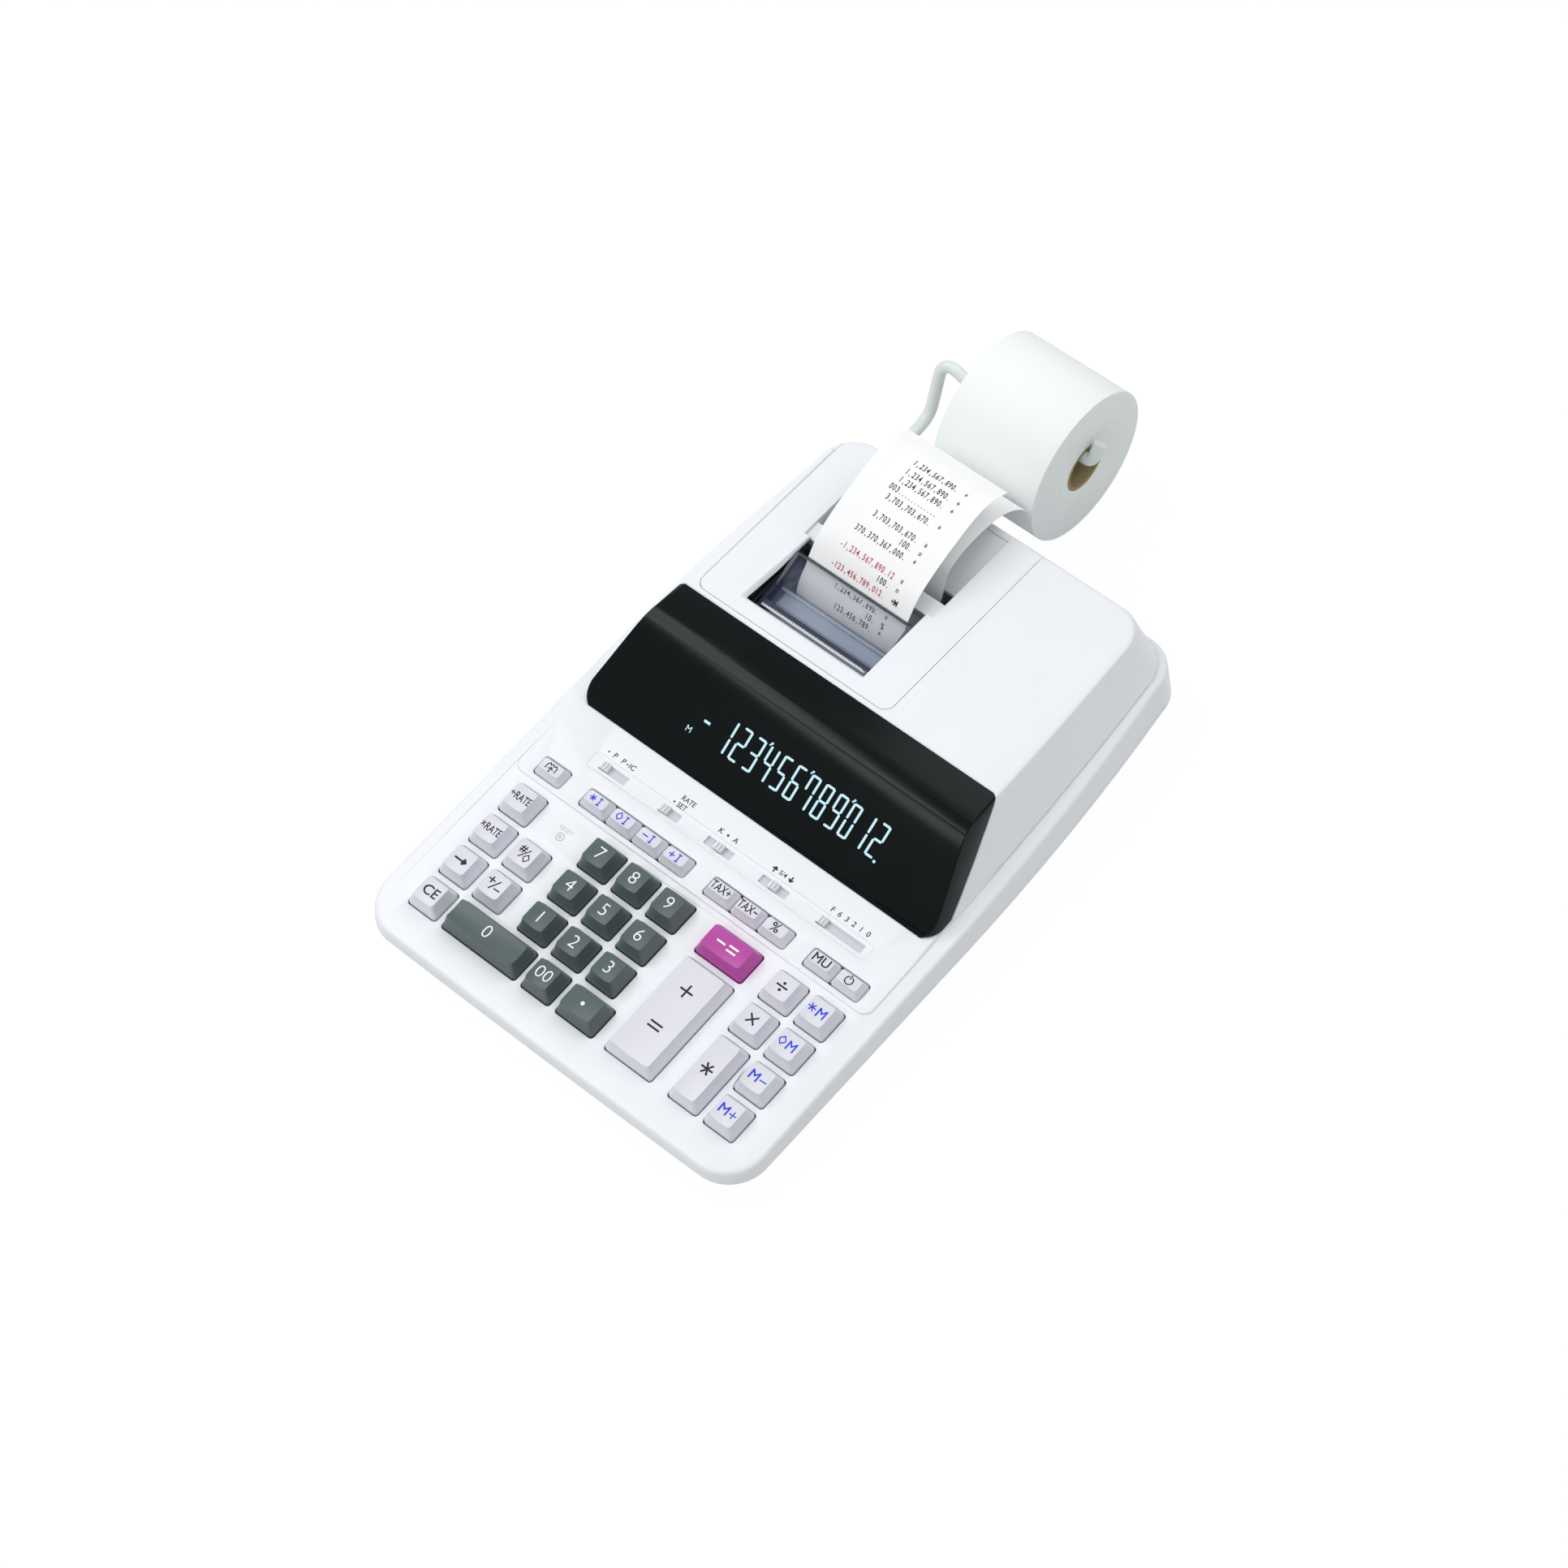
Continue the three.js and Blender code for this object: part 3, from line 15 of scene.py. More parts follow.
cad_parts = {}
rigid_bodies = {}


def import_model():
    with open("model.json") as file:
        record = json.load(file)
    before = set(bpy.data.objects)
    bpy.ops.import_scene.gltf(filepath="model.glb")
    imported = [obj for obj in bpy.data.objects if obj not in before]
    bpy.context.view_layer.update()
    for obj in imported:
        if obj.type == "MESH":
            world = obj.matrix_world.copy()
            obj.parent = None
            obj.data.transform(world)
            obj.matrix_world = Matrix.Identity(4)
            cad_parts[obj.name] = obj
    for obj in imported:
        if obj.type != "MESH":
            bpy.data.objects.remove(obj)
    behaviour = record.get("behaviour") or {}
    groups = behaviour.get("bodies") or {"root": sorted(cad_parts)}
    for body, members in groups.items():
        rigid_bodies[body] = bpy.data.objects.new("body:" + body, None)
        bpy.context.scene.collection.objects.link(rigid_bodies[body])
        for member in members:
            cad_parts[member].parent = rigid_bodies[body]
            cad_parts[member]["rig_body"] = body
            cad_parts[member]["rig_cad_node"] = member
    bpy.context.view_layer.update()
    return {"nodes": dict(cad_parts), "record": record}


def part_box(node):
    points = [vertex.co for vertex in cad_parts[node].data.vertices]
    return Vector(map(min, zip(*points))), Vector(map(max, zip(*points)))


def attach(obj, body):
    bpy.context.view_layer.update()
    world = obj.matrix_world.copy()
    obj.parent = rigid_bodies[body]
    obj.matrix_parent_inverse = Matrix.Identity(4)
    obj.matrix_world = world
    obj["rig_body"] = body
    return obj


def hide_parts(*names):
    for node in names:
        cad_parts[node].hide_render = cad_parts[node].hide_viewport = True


bl_info = {
    "name": "Desk printing calculator",
    "version": (1, 0, 0),
    "blender": (4, 5, 0),
    "location": "View3D > Sidebar > Calculator",
    "description": "Models the keys, case, printer and paper of a desk printing calculator",
    "category": "Object",
}

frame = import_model()
NODES = frame["nodes"]
NODE_BODY = {
    node: body
    for body, members in frame["record"]["behaviour"]["bodies"].items()
    for node in members
}

# ------------------------------------------------------------------ deck frame

MM = 0.001
DECK_SLOPE = math.radians(4.7)
DECK_FRONT_HEIGHT = 24 * MM
FOOT_SETBACK = 24 * MM
DECK_ORIGIN = Vector((0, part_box("foot_front")[0].y - FOOT_SETBACK, DECK_FRONT_HEIGHT))
DECK = Matrix.Translation(DECK_ORIGIN) @ Matrix.Rotation(DECK_SLOPE, 4, "X")
DECK_MM = DECK @ Matrix.Scale(MM, 4)


def deck_box(node):
    """Lowest and highest corner of a CAD node in the deck frame, in millimetres."""
    to_deck = DECK_MM.inverted()
    points = [to_deck @ vertex.co for vertex in NODES[node].data.vertices]
    low = Vector(min(point[axis] for point in points) for axis in range(3))
    high = Vector(max(point[axis] for point in points) for axis in range(3))
    return low, high


# -------------------------------------------------------------- modelling tools

DOUBLED = 0.0005  # corners this near in millimetres are one corner
STROKE_HEIGHT = 0.4

def deselect():
    if bpy.context.object is not None and bpy.context.object.mode != "OBJECT":
        bpy.ops.object.mode_set(mode="OBJECT")
    bpy.ops.object.select_all(action="DESELECT")


def pick(*pieces):
    """Selects these pieces and nothing else, and makes the first one active."""
    deselect()
    for piece in pieces:
        piece.select_set(True)
    bpy.context.view_layer.objects.active = pieces[0]
    return pieces[0]


def named(name):
    piece = bpy.context.object
    piece.name = name
    piece.data.name = name
    return piece


def apply_place(piece):
    pick(piece)
    bpy.ops.object.transform_apply(location=True, rotation=True, scale=True)
    return piece


@contextmanager
def editing():
    """Edit mode on the active piece, and object mode again afterwards."""
    bpy.ops.object.mode_set(mode="EDIT")
    yield
    bpy.ops.object.mode_set(mode="OBJECT")


def join(pieces, name):
    if len(pieces) > 1:
        pick(*pieces)
        bpy.ops.object.join()
    else:
        pick(pieces[0])
    return named(name)


def copy_of(piece, name):
    twin = piece.copy()
    twin.data = piece.data.copy()
    twin.name = name
    twin.data.name = name
    bpy.context.scene.collection.objects.link(twin)
    return twin


def modify(piece, kind, **settings):
    """Adds a modifier, gives it its settings and applies it."""
    pick(piece)
    modifier = piece.modifiers.new(kind.title(), kind)
    for setting, value in settings.items():
        setattr(modifier, setting, value)
    bpy.ops.object.modifier_apply(modifier=modifier.name)
    return piece


def cut(piece, tool, **settings):
    """Takes a tool's shape out of a piece, and removes the tool."""
    modify(piece, "BOOLEAN", operation="DIFFERENCE", object=tool, solver="EXACT", **settings)
    bpy.data.objects.remove(tool)


def soften(piece, width, segments=2, angle=30, smooth=35):
    """Rounds the sharp edges and smooths the shading of a finished shape."""
    modify(piece, "BEVEL", width=width, segments=segments, limit_method="ANGLE",
           angle_limit=math.radians(angle), use_clamp_overlap=True, miter_outer="MITER_ARC")
    pick(piece)
    bpy.ops.object.shade_smooth_by_angle(angle=math.radians(smooth))
    return piece


def outward(piece):
    """Closes doubled corners and turns every face outwards."""
    pick(piece)
    with editing():
        bpy.ops.mesh.select_all(action="SELECT")
        bpy.ops.mesh.remove_doubles(threshold=DOUBLED)
        bpy.ops.mesh.normals_make_consistent(inside=False)
    return piece


def finish_piece(piece, material, slot, body=None, replaced=(), in_deck=True):
    """Settles a piece in the row frame, with its material and body; the slot is not used."""
    bpy.context.view_layer.update()
    if in_deck:
        piece.matrix_world = DECK_MM @ piece.matrix_world
    apply_place(piece)
    piece.data.materials.clear()
    piece.data.materials.append(material)
    if replaced:
        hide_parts(*replaced)
        body = body or NODE_BODY[replaced[0]]
    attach(piece, body)
    deselect()
    return piece


def select_where(piece, test, kind="FACE"):
    """In edit mode, selects the faces, edges or vertices whose place passes a test."""
    bpy.ops.mesh.select_mode(type=kind)
    bpy.ops.mesh.select_all(action="DESELECT")
    bpy.ops.object.mode_set(mode="OBJECT")
    mesh = piece.data
    chosen = {"FACE": mesh.polygons, "EDGE": mesh.edges, "VERT": mesh.vertices}[kind]
    for element in chosen:
        element.select = test(mesh, element)
    bpy.ops.object.mode_set(mode="EDIT")


def is_upright_edge(mesh, edge):
    start, end = (mesh.vertices[i].co for i in edge.vertices)
    along = (end - start).normalized()
    return abs(along.z) > 0.99


def faces_up(mesh, face):
    top = max(vertex.co.z for vertex in mesh.vertices)
    return face.normal.z > 0.9 and face.center.z > top - 0.01


def block(x0, x1, y0, y1, z0, z1):
    deselect()
    bpy.ops.mesh.primitive_cube_add(
        size=1, location=((x0 + x1) / 2, (y0 + y1) / 2, (z0 + z1) / 2),
        scale=(x1 - x0, y1 - y0, z1 - z0))
    return apply_place(bpy.context.object)


def upright(radius, depth, x, y, z, vertices=32):
    deselect()
    bpy.ops.mesh.primitive_cylinder_add(
        vertices=vertices, radius=radius, depth=depth, location=(x, y, z))
    return apply_place(bpy.context.object)


def lying(radius, x0, x1, y, z, vertices=64):
    """A cylinder along x."""
    deselect()
    bpy.ops.mesh.primitive_cylinder_add(
        vertices=vertices, radius=radius, depth=x1 - x0,
        location=((x0 + x1) / 2, y, z), rotation=(0, math.pi / 2, 0))
    return apply_place(bpy.context.object)


def tablet(width, depth, z0, z1, corner, segments=4):
    """A rounded-rectangle block about the z axis."""
    piece = block(-width / 2, width / 2, -depth / 2, depth / 2, z0, z1)
    with editing():
        select_where(piece, is_upright_edge, "EDGE")
        bpy.ops.mesh.bevel(offset=corner, segments=segments, affect="EDGES")
    return piece


def raise_top(up, factor):
    """In edit mode, extrudes the selected top face and narrows the new one."""
    bpy.ops.mesh.extrude_region_move(TRANSFORM_OT_translate={"value": (0, 0, up)})
    bpy.ops.transform.resize(value=(factor[0], factor[1], 1), center_override=(0, 0, 0))


def bar(x, y, length, angle, thickness):
    """A flat stroke of a legend, `angle` in degrees from the x axis."""
    deselect()
    bpy.ops.mesh.primitive_cube_add(
        size=1, location=(x, y, 0), rotation=(0, 0, math.radians(angle)),
        scale=(length, thickness, STROKE_HEIGHT))
    return apply_place(bpy.context.object)


def dot(x, y, radius):
    return upright(radius, STROKE_HEIGHT, x, y, 0, 20)


def lettering(body, x, y, size, height=STROKE_HEIGHT, squeeze=1.0, bold=0.0):
    """Flat raised text, centred on its place."""
    deselect()
    bpy.ops.object.text_add(location=(0, 0, 0))
    text = bpy.context.object
    text.data.body = body
    text.data.size = size
    text.data.align_x = "CENTER"
    text.data.align_y = "CENTER"
    text.data.extrude = height / 2
    text.data.offset = bold
    text.data.resolution_u = 4
    bpy.ops.object.convert(target="MESH")
    text = bpy.context.object
    text.scale = (squeeze, 1, 1)
    text.location = (x, y, 0)
    return apply_place(text)


def marks(name, strokes):
    """Joins a legend's strokes: each is a maker and its arguments."""
    return join([maker(*values) for maker, *values in strokes], name)


# --------------------------------------------------------------------- shaders


class Sum:
    """A number or a socket in a material; sums on it add Math nodes."""

    def __init__(self, finish, value):
        self.finish = finish
        self.value = value

    def _with(self, operation, first, second):
        node = self.finish.node("ShaderNodeMath", {"operation": operation},
                                {0: first, 1: second})
        return Sum(self.finish, node.outputs[0])

    def __add__(self, other):
        return self._with("ADD", self, other)

    def __radd__(self, other):
        return self._with("ADD", other, self)

    def __sub__(self, other):
        return self._with("SUBTRACT", self, other)

    def __rsub__(self, other):
        return self._with("SUBTRACT", other, self)

    def __mul__(self, other):
        return self._with("MULTIPLY", self, other)

    def __rmul__(self, other):
        return self._with("MULTIPLY", other, self)


class Finish:
    """A procedural material on a piece's own coordinates."""

    def __init__(self, name):
        self.material = bpy.data.materials.new(name)
        self.material.use_nodes = True
        self.tree = self.material.node_tree
        self.shader = self.tree.nodes["Principled BSDF"]
        self.place = self.node("ShaderNodeTexCoord").outputs["Object"]

    def node(self, kind, settings=None, sockets=None):
        """Adds a node; its settings come first, then its sockets' values or links."""
        node = self.tree.nodes.new(kind)
        for setting, value in (settings or {}).items():
            setattr(node, setting, value)
        for socket, value in (sockets or {}).items():
            self.feed(node.inputs[socket], value)
        return node

    def feed(self, socket, value):
        value = value.value if isinstance(value, Sum) else value
        if isinstance(value, bpy.types.NodeSocket):
            self.tree.links.new(value, socket)
        else:
            socket.default_value = value

    def fixed(self, **values):
        """Sets constants straight on the shader: Coat_Weight=0.2 sets Coat Weight."""
        for socket, value in values.items():
            self.shader.inputs[socket.replace("_", " ")].default_value = value

    def noise(self, scale, detail=2.0, rough=0.5, stretch=None):
        place = self.place
        if stretch is not None:
            place = self.node("ShaderNodeMapping", None,
                              {"Vector": place, "Scale": stretch}).outputs[0]
        node = self.node("ShaderNodeTexNoise", None, {
            "Vector": place, "Scale": scale, "Detail": detail, "Roughness": rough})
        return Sum(self, node.outputs["Fac"])

    def blend(self, factor, first, second):
        node = self.node("ShaderNodeMix", {"data_type": "RGBA"})
        colours = [socket for socket in node.inputs if socket.type == "RGBA"]
        self.feed(node.inputs[0], factor)
        self.feed(colours[0], first)
        self.feed(colours[1], second)
        return [socket for socket in node.outputs if socket.type == "RGBA"][0]

    def colour(self, value):
        self.feed(self.shader.inputs["Base Color"], value)

    def roughness(self, value):
        self.feed(self.shader.inputs["Roughness"], value)

    def bump(self, height, strength, distance):
        node = self.node("ShaderNodeBump", None, {
            "Height": height, "Strength": strength, "Distance": distance})
        self.feed(self.shader.inputs["Normal"], node.outputs["Normal"])


def rgb(red, green, blue):
    """A linear colour from the eight-bit sRGB values that a maker quotes."""
    def linear(value):
        share = value / 255
        return share / 12.92 if share <= 0.04045 else ((share + 0.055) / 1.055) ** 2.4
    return (linear(red), linear(green), linear(blue), 1.0)


def shade(colour, factor):
    return tuple(min(1.0, channel * factor) for channel in colour[:3]) + (1.0,)


def moulded_plastic(name, colour, roughness, grain, relief):
    """Injection-moulded plastic: spark-eroded grain, faint flow mottling, satin gloss."""
    finish = Finish(name)
    grain_noise = finish.noise(grain, 3.0, 0.6)
    mottle = finish.noise(38.0, 3.0, 0.55)
    finish.colour(finish.blend(mottle, shade(colour, 0.965), shade(colour, 1.02)))
    finish.roughness(grain_noise * 0.14 + mottle * 0.08 + (roughness - 0.11))
    finish.bump(grain_noise, relief, 0.00006)
    finish.fixed(IOR=1.48, Coat_Weight=0.0, Coat_Roughness=0.25)
    return finish.material


def flat_print(name, colour, roughness=0.5):
    """Pad-printed ink: a little uneven at its edges and in its gloss."""
    finish = Finish(name)
    coverage = finish.noise(900.0, 2.0)
    finish.colour(finish.blend(coverage, shade(colour, 0.9), shade(colour, 1.04)))
    finish.roughness(coverage * 0.2 + (roughness - 0.1))
    return finish.material


def glossy_window(name):
    """Smoked acrylic over the display, nearly black, with faint polishing haze."""
    finish = Finish(name)
    haze = finish.noise(60.0, 4.0)
    fine = finish.noise(700.0, 2.0)
    finish.colour(finish.blend(haze, rgb(4, 6, 6), rgb(7, 9, 9)))
    finish.roughness(haze * 0.06 + fine * 0.04 + 0.2)
    finish.fixed(IOR=1.49, Specular_IOR_Level=0.21, Specular_Tint=(0.82, 1.0, 0.98, 1.0))
    return finish.material


def lit_segment(name):
    """The glow of a fluorescent display segment, a little uneven."""
    finish = Finish(name)
    flicker = finish.noise(1500.0, 2.0)
    glow = finish.blend(flicker, rgb(190, 232, 246), rgb(208, 242, 252))
    finish.colour(rgb(30, 40, 42))
    finish.feed(finish.shader.inputs["Emission Color"], glow)
    finish.roughness(flicker * 0.1 + 0.3)
    finish.fixed(Emission_Strength=1.0)
    return finish.material


def smoked_clear(name):
    """Smoke-tinted clear plastic of the tear-off cutter."""
    finish = Finish(name)
    haze = finish.noise(120.0, 3.0)
    finish.colour(finish.blend(haze, rgb(84, 98, 132), rgb(96, 110, 144)))
    finish.roughness(haze * 0.06 + 0.08)
    finish.feed(finish.shader.inputs["Alpha"], haze * 0.04 + 0.1)
    finish.fixed(IOR=1.49)
    return finish.material


def paper_stock(name):
    """Bond paper: fibres, a soft cockle and no gloss."""
    finish = Finish(name)
    fibres = finish.noise(2600.0, 4.0, 0.7, (1.0, 0.35, 1.0))
    clouds = finish.noise(70.0, 3.0)
    base = rgb(253, 254, 254)
    finish.colour(finish.blend(clouds, shade(base, 0.965), shade(base, 1.015)))
    finish.roughness(fibres * 0.1 + 0.82)
    finish.bump(fibres * 0.6 + clouds, 0.15, 0.0001)
    return finish.material


def wound_paper(name, centre):
    """The roll: paper whose ends show its turns as fine rings round the core."""
    finish = Finish(name)
    moved = finish.node("ShaderNodeVectorMath", {"operation": "SUBTRACT"},
                        {0: finish.place, 1: centre}).outputs[0]
    across = finish.node("ShaderNodeVectorMath", {"operation": "MULTIPLY"},
                         {0: moved, 1: (0.0, 1.0, 1.0)}).outputs[0]
    radius = finish.node("ShaderNodeVectorMath", {"operation": "LENGTH"}, {0: across})
    distance = Sum(finish, radius.outputs["Value"])
    wobble = finish.noise(90.0, 3.0)
    turns = finish.node("ShaderNodeMath", {"operation": "SINE"},
                        {0: distance * 9000.0 + wobble * 3.0}).outputs[0]
    bands = finish.node("ShaderNodeMath", {"operation": "SINE"},
                        {0: distance * 1150.0 + wobble * 4.0}).outputs[0]
    rings = Sum(finish, turns) * 0.32 + Sum(finish, bands) * 0.18 + 0.5
    base = rgb(247, 251, 250)
    finish.colour(finish.blend(rings, shade(base, 0.95), shade(base, 1.01)))
    finish.roughness(rings * 0.08 + 0.8)
    finish.bump(rings, 0.05, 0.00006)
    return finish.material


def card_tube(name):
    """Brown card of the core: wound strips and short fibres."""
    finish = Finish(name)
    fibres = finish.noise(1300.0, 4.0, 0.7, (0.3, 1.0, 1.0))
    clouds = finish.noise(160.0, 3.0)
    tone = finish.blend(clouds, rgb(160, 139, 98), rgb(188, 170, 130))
    finish.colour(finish.blend(fibres * 0.5, tone, rgb(120, 100, 66)))
    finish.roughness(fibres * 0.12 + 0.8)
    finish.bump(fibres, 0.3, 0.00015)
    return finish.material


def rubber(name, colour, roughness):
    """Moulded rubber or felt: dull, with a fine pebble."""
    finish = Finish(name)
    pebble = finish.noise(1100.0, 4.0, 0.65)
    finish.colour(finish.blend(pebble, shade(colour, 0.75), shade(colour, 1.3)))
    finish.roughness(pebble * 0.15 + (roughness - 0.08))
    finish.bump(pebble, 0.35, 0.00012)
    return finish.material


def rolled_steel(name):
    """Pressed sheet steel with rolling lines."""
    finish = Finish(name)
    lines = finish.noise(900.0, 3.0, 0.6, (0.06, 1.0, 1.0))
    stain = finish.noise(45.0, 3.0)
    finish.colour(finish.blend(lines, rgb(120, 124, 128), rgb(160, 163, 166)))
    finish.roughness(lines * 0.2 + stain * 0.1 + 0.25)
    finish.bump(lines, 0.2, 0.00005)
    finish.fixed(Metallic=0.85)
    return finish.material


def circuit_board(name):
    """Green solder mask over a faint weave of glass cloth."""
    finish = Finish(name)
    weave = finish.node("ShaderNodeTexWave", {"wave_type": "BANDS", "bands_direction": "X"},
                        {"Vector": finish.place, "Scale": 420.0, "Distortion": 1.0})
    cloth = Sum(finish, weave.outputs["Fac"]) * 0.4 + finish.noise(60.0) * 0.6
    finish.colour(finish.blend(cloth, rgb(28, 84, 52), rgb(46, 112, 72)))
    finish.roughness(cloth * 0.15 + 0.35)
    finish.fixed(Coat_Weight=0.3, Coat_Roughness=0.2)
    return finish.material


# plastics in a colour that a user may change: its name, property, shade, roughness,
# grain and relief
SET_PLASTICS = {
    "case_white": ("case_white_plastic", "case_colour", 1.0, 0.42, 1500.0, 0.08),
    # the lower case: the case colour at 0.95, a darker copy that is painted shade on the lower
    # case
    "case_lower": ("case_lower_plastic", "case_colour", 0.95, 0.5, 900.0, 0.2),
    "key_light": ("key_light_plastic", "light_key_colour", 1.0, 0.4, 1700.0, 0.08),
    "key_dark": ("key_dark_plastic", "dark_key_colour", 1.0, 0.4, 1700.0, 0.08),
    "key_magenta": ("key_magenta_plastic", "magenta_key_colour", 1.0, 0.36, 1700.0, 0.08),
}
# maker, name, colour and whatever else that maker takes
COLOURED = {
    "switch_white": (moulded_plastic, "switch_white_plastic", (236, 238, 240), 0.4, 1700.0, 0.06),
    "cutter_edge": (moulded_plastic, "cutter_dark_edge", (40, 46, 66), 0.3, 1200.0, 0.05),
    # grey for the slot floors and the reset plug: painted shade of those recesses
    "recess_painted_shade": (moulded_plastic, "slot_shaded_plastic", (206, 210, 216), 0.5, 1200.0, 0.08),
    "reset_grey": (moulded_plastic, "reset_ring_plastic", (150, 154, 162), 0.5, 1200.0, 0.05),
    "guard": (moulded_plastic, "printer_guard_plastic", (176, 188, 204), 0.35, 1200.0, 0.05),
    "arm_pale": (moulded_plastic, "arm_pale_coating", (226, 233, 231), 0.34, 1100.0, 0.06),
    "mechanism": (moulded_plastic, "mechanism_black_plastic", (24, 27, 29), 0.45, 1100.0, 0.1),
    "legend_white": (flat_print, "legend_white_ink", (250, 251, 251)),
    "legend_black": (flat_print, "legend_black_ink", (16, 16, 18)),
    "legend_blue": (flat_print, "legend_blue_ink", (28, 58, 226)),
    "legend_faint": (flat_print, "legend_faint_ink", (205, 207, 217)),
    "tape_black": (flat_print, "tape_black_ink", (30, 32, 38), 0.7),
    "tape_red": (flat_print, "tape_red_ink", (198, 34, 78), 0.7),
    "rubber": (rubber, "foot_black_rubber", (38, 40, 42), 0.8),
    "ink_felt": (rubber, "ink_roller_felt", (40, 34, 74), 0.88),
    "platen_rubber": (rubber, "platen_black_rubber", (26, 28, 30), 0.7),
    "key_mat": (rubber, "key_mat_silicone", (150, 153, 158), 0.7),
}
PLAIN = {
    "window_black": (glossy_window, "window_smoked_acrylic"),
    "display_glass": (glossy_window, "display_glass_panel"),
    "segment": (lit_segment, "display_segment_glow"),
    "cutter_smoke": (smoked_clear, "cutter_smoked_clear"),
    "paper": (paper_stock, "tape_bond_paper"),
    "core": (card_tube, "core_brown_card"),
    "steel": (rolled_steel, "chassis_pressed_steel"),
    "board": (circuit_board, "board_green_laminate"),
}
FINISHES = {}


def make_finish(name):
    if name in SET_PLASTICS:
        title, setting, factor, *rest = SET_PLASTICS[name]
        colour = tuple(getattr(bpy.context.scene.calculator_look, setting))
        return moulded_plastic(title, shade(colour, factor), *rest)
    if name in COLOURED:
        maker, title, colour, *rest = COLOURED[name]
        return maker(title, rgb(*colour), *rest)
    if name == "roll":
        return wound_paper("roll_wound_paper", tuple(roll_centre()))
    maker, title = PLAIN[name]
    return maker(title)


def finish_for(name):
    """The finish of that name, made the first time that it is asked for."""
    if name not in FINISHES:
        FINISHES[name] = make_finish(name)
    return FINISHES[name]


def roll_centre():
    low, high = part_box("paper_roll")
    return (low + high) / 2


# ------------------------------------------------------------------ properties


class CalculatorLook(bpy.types.PropertyGroup):
    """Colours that a user may change."""

    case_colour: bpy.props.FloatVectorProperty(
        name="Case", description="Colour of the case plastic", subtype="COLOR",
        size=4, min=0, max=1, default=rgb(241, 243, 247))
    light_key_colour: bpy.props.FloatVectorProperty(
        name="Light keys", description="Colour of the function keys", subtype="COLOR",
        size=4, min=0, max=1, default=rgb(225, 225, 233))
    dark_key_colour: bpy.props.FloatVectorProperty(
        name="Dark keys", description="Colour of the number keys", subtype="COLOR",
        size=4, min=0, max=1, default=rgb(84, 98, 97))
    magenta_key_colour: bpy.props.FloatVectorProperty(
        name="Minus key", description="Colour of the minus-equals key", subtype="COLOR",
        size=4, min=0, max=1, default=rgb(186, 72, 164))


class CalculatorSizes(bpy.types.PropertyGroup):
    """Sizes in the deck frame, in millimetres."""

    key_dish: bpy.props.FloatProperty(
        name="Key dish", description="Depth of the hollow in a key's top, in millimetres",
        default=0.8, min=0, max=2)
    key_lean: bpy.props.FloatProperty(
        name="Key lean", description="How far a cap's sides lean in, in millimetres",
        default=2.3, min=0.5, max=4)
    edge_round: bpy.props.FloatProperty(
        name="Edge round", description="Radius on the case's sharp edges, in millimetres",
        default=0.35, min=0.05, max=1)
    digit_height: bpy.props.FloatProperty(
        name="Digit height", description="Height of a display digit, in millimetres",
        default=17.0, min=5, max=25)
    camera_lens: bpy.props.FloatProperty(
        name="Lens", description="Focal length of the camera", default=93.17,
        min=20, max=300, unit="CAMERA")


# ----------------------------------------------------------------------- stage

CAMERA_PLACE = DECK_ORIGIN + Vector((0.69241, -0.53065, 1.5049))
CAMERA_AIM = DECK_ORIGIN + Vector((0.0011, 0.1618, 0.016))
CAMERA_ROLL = math.radians(-5.03)
CAMERA_SENSOR = 36
# name, place, width, depth and radiance
SOFTBOXES = (
    ("strip_softbox", (-0.86, -0.81, 1.85), 2.6, 0.8, 3.75),
    ("rear_softbox", (0.35, 1.2, 1.8), 1.8, 1.8, 1.35),
)
SKY_STRENGTH = 0.475
FLOOR_SIZE = 12
FLOOR_DROP = 0.0005


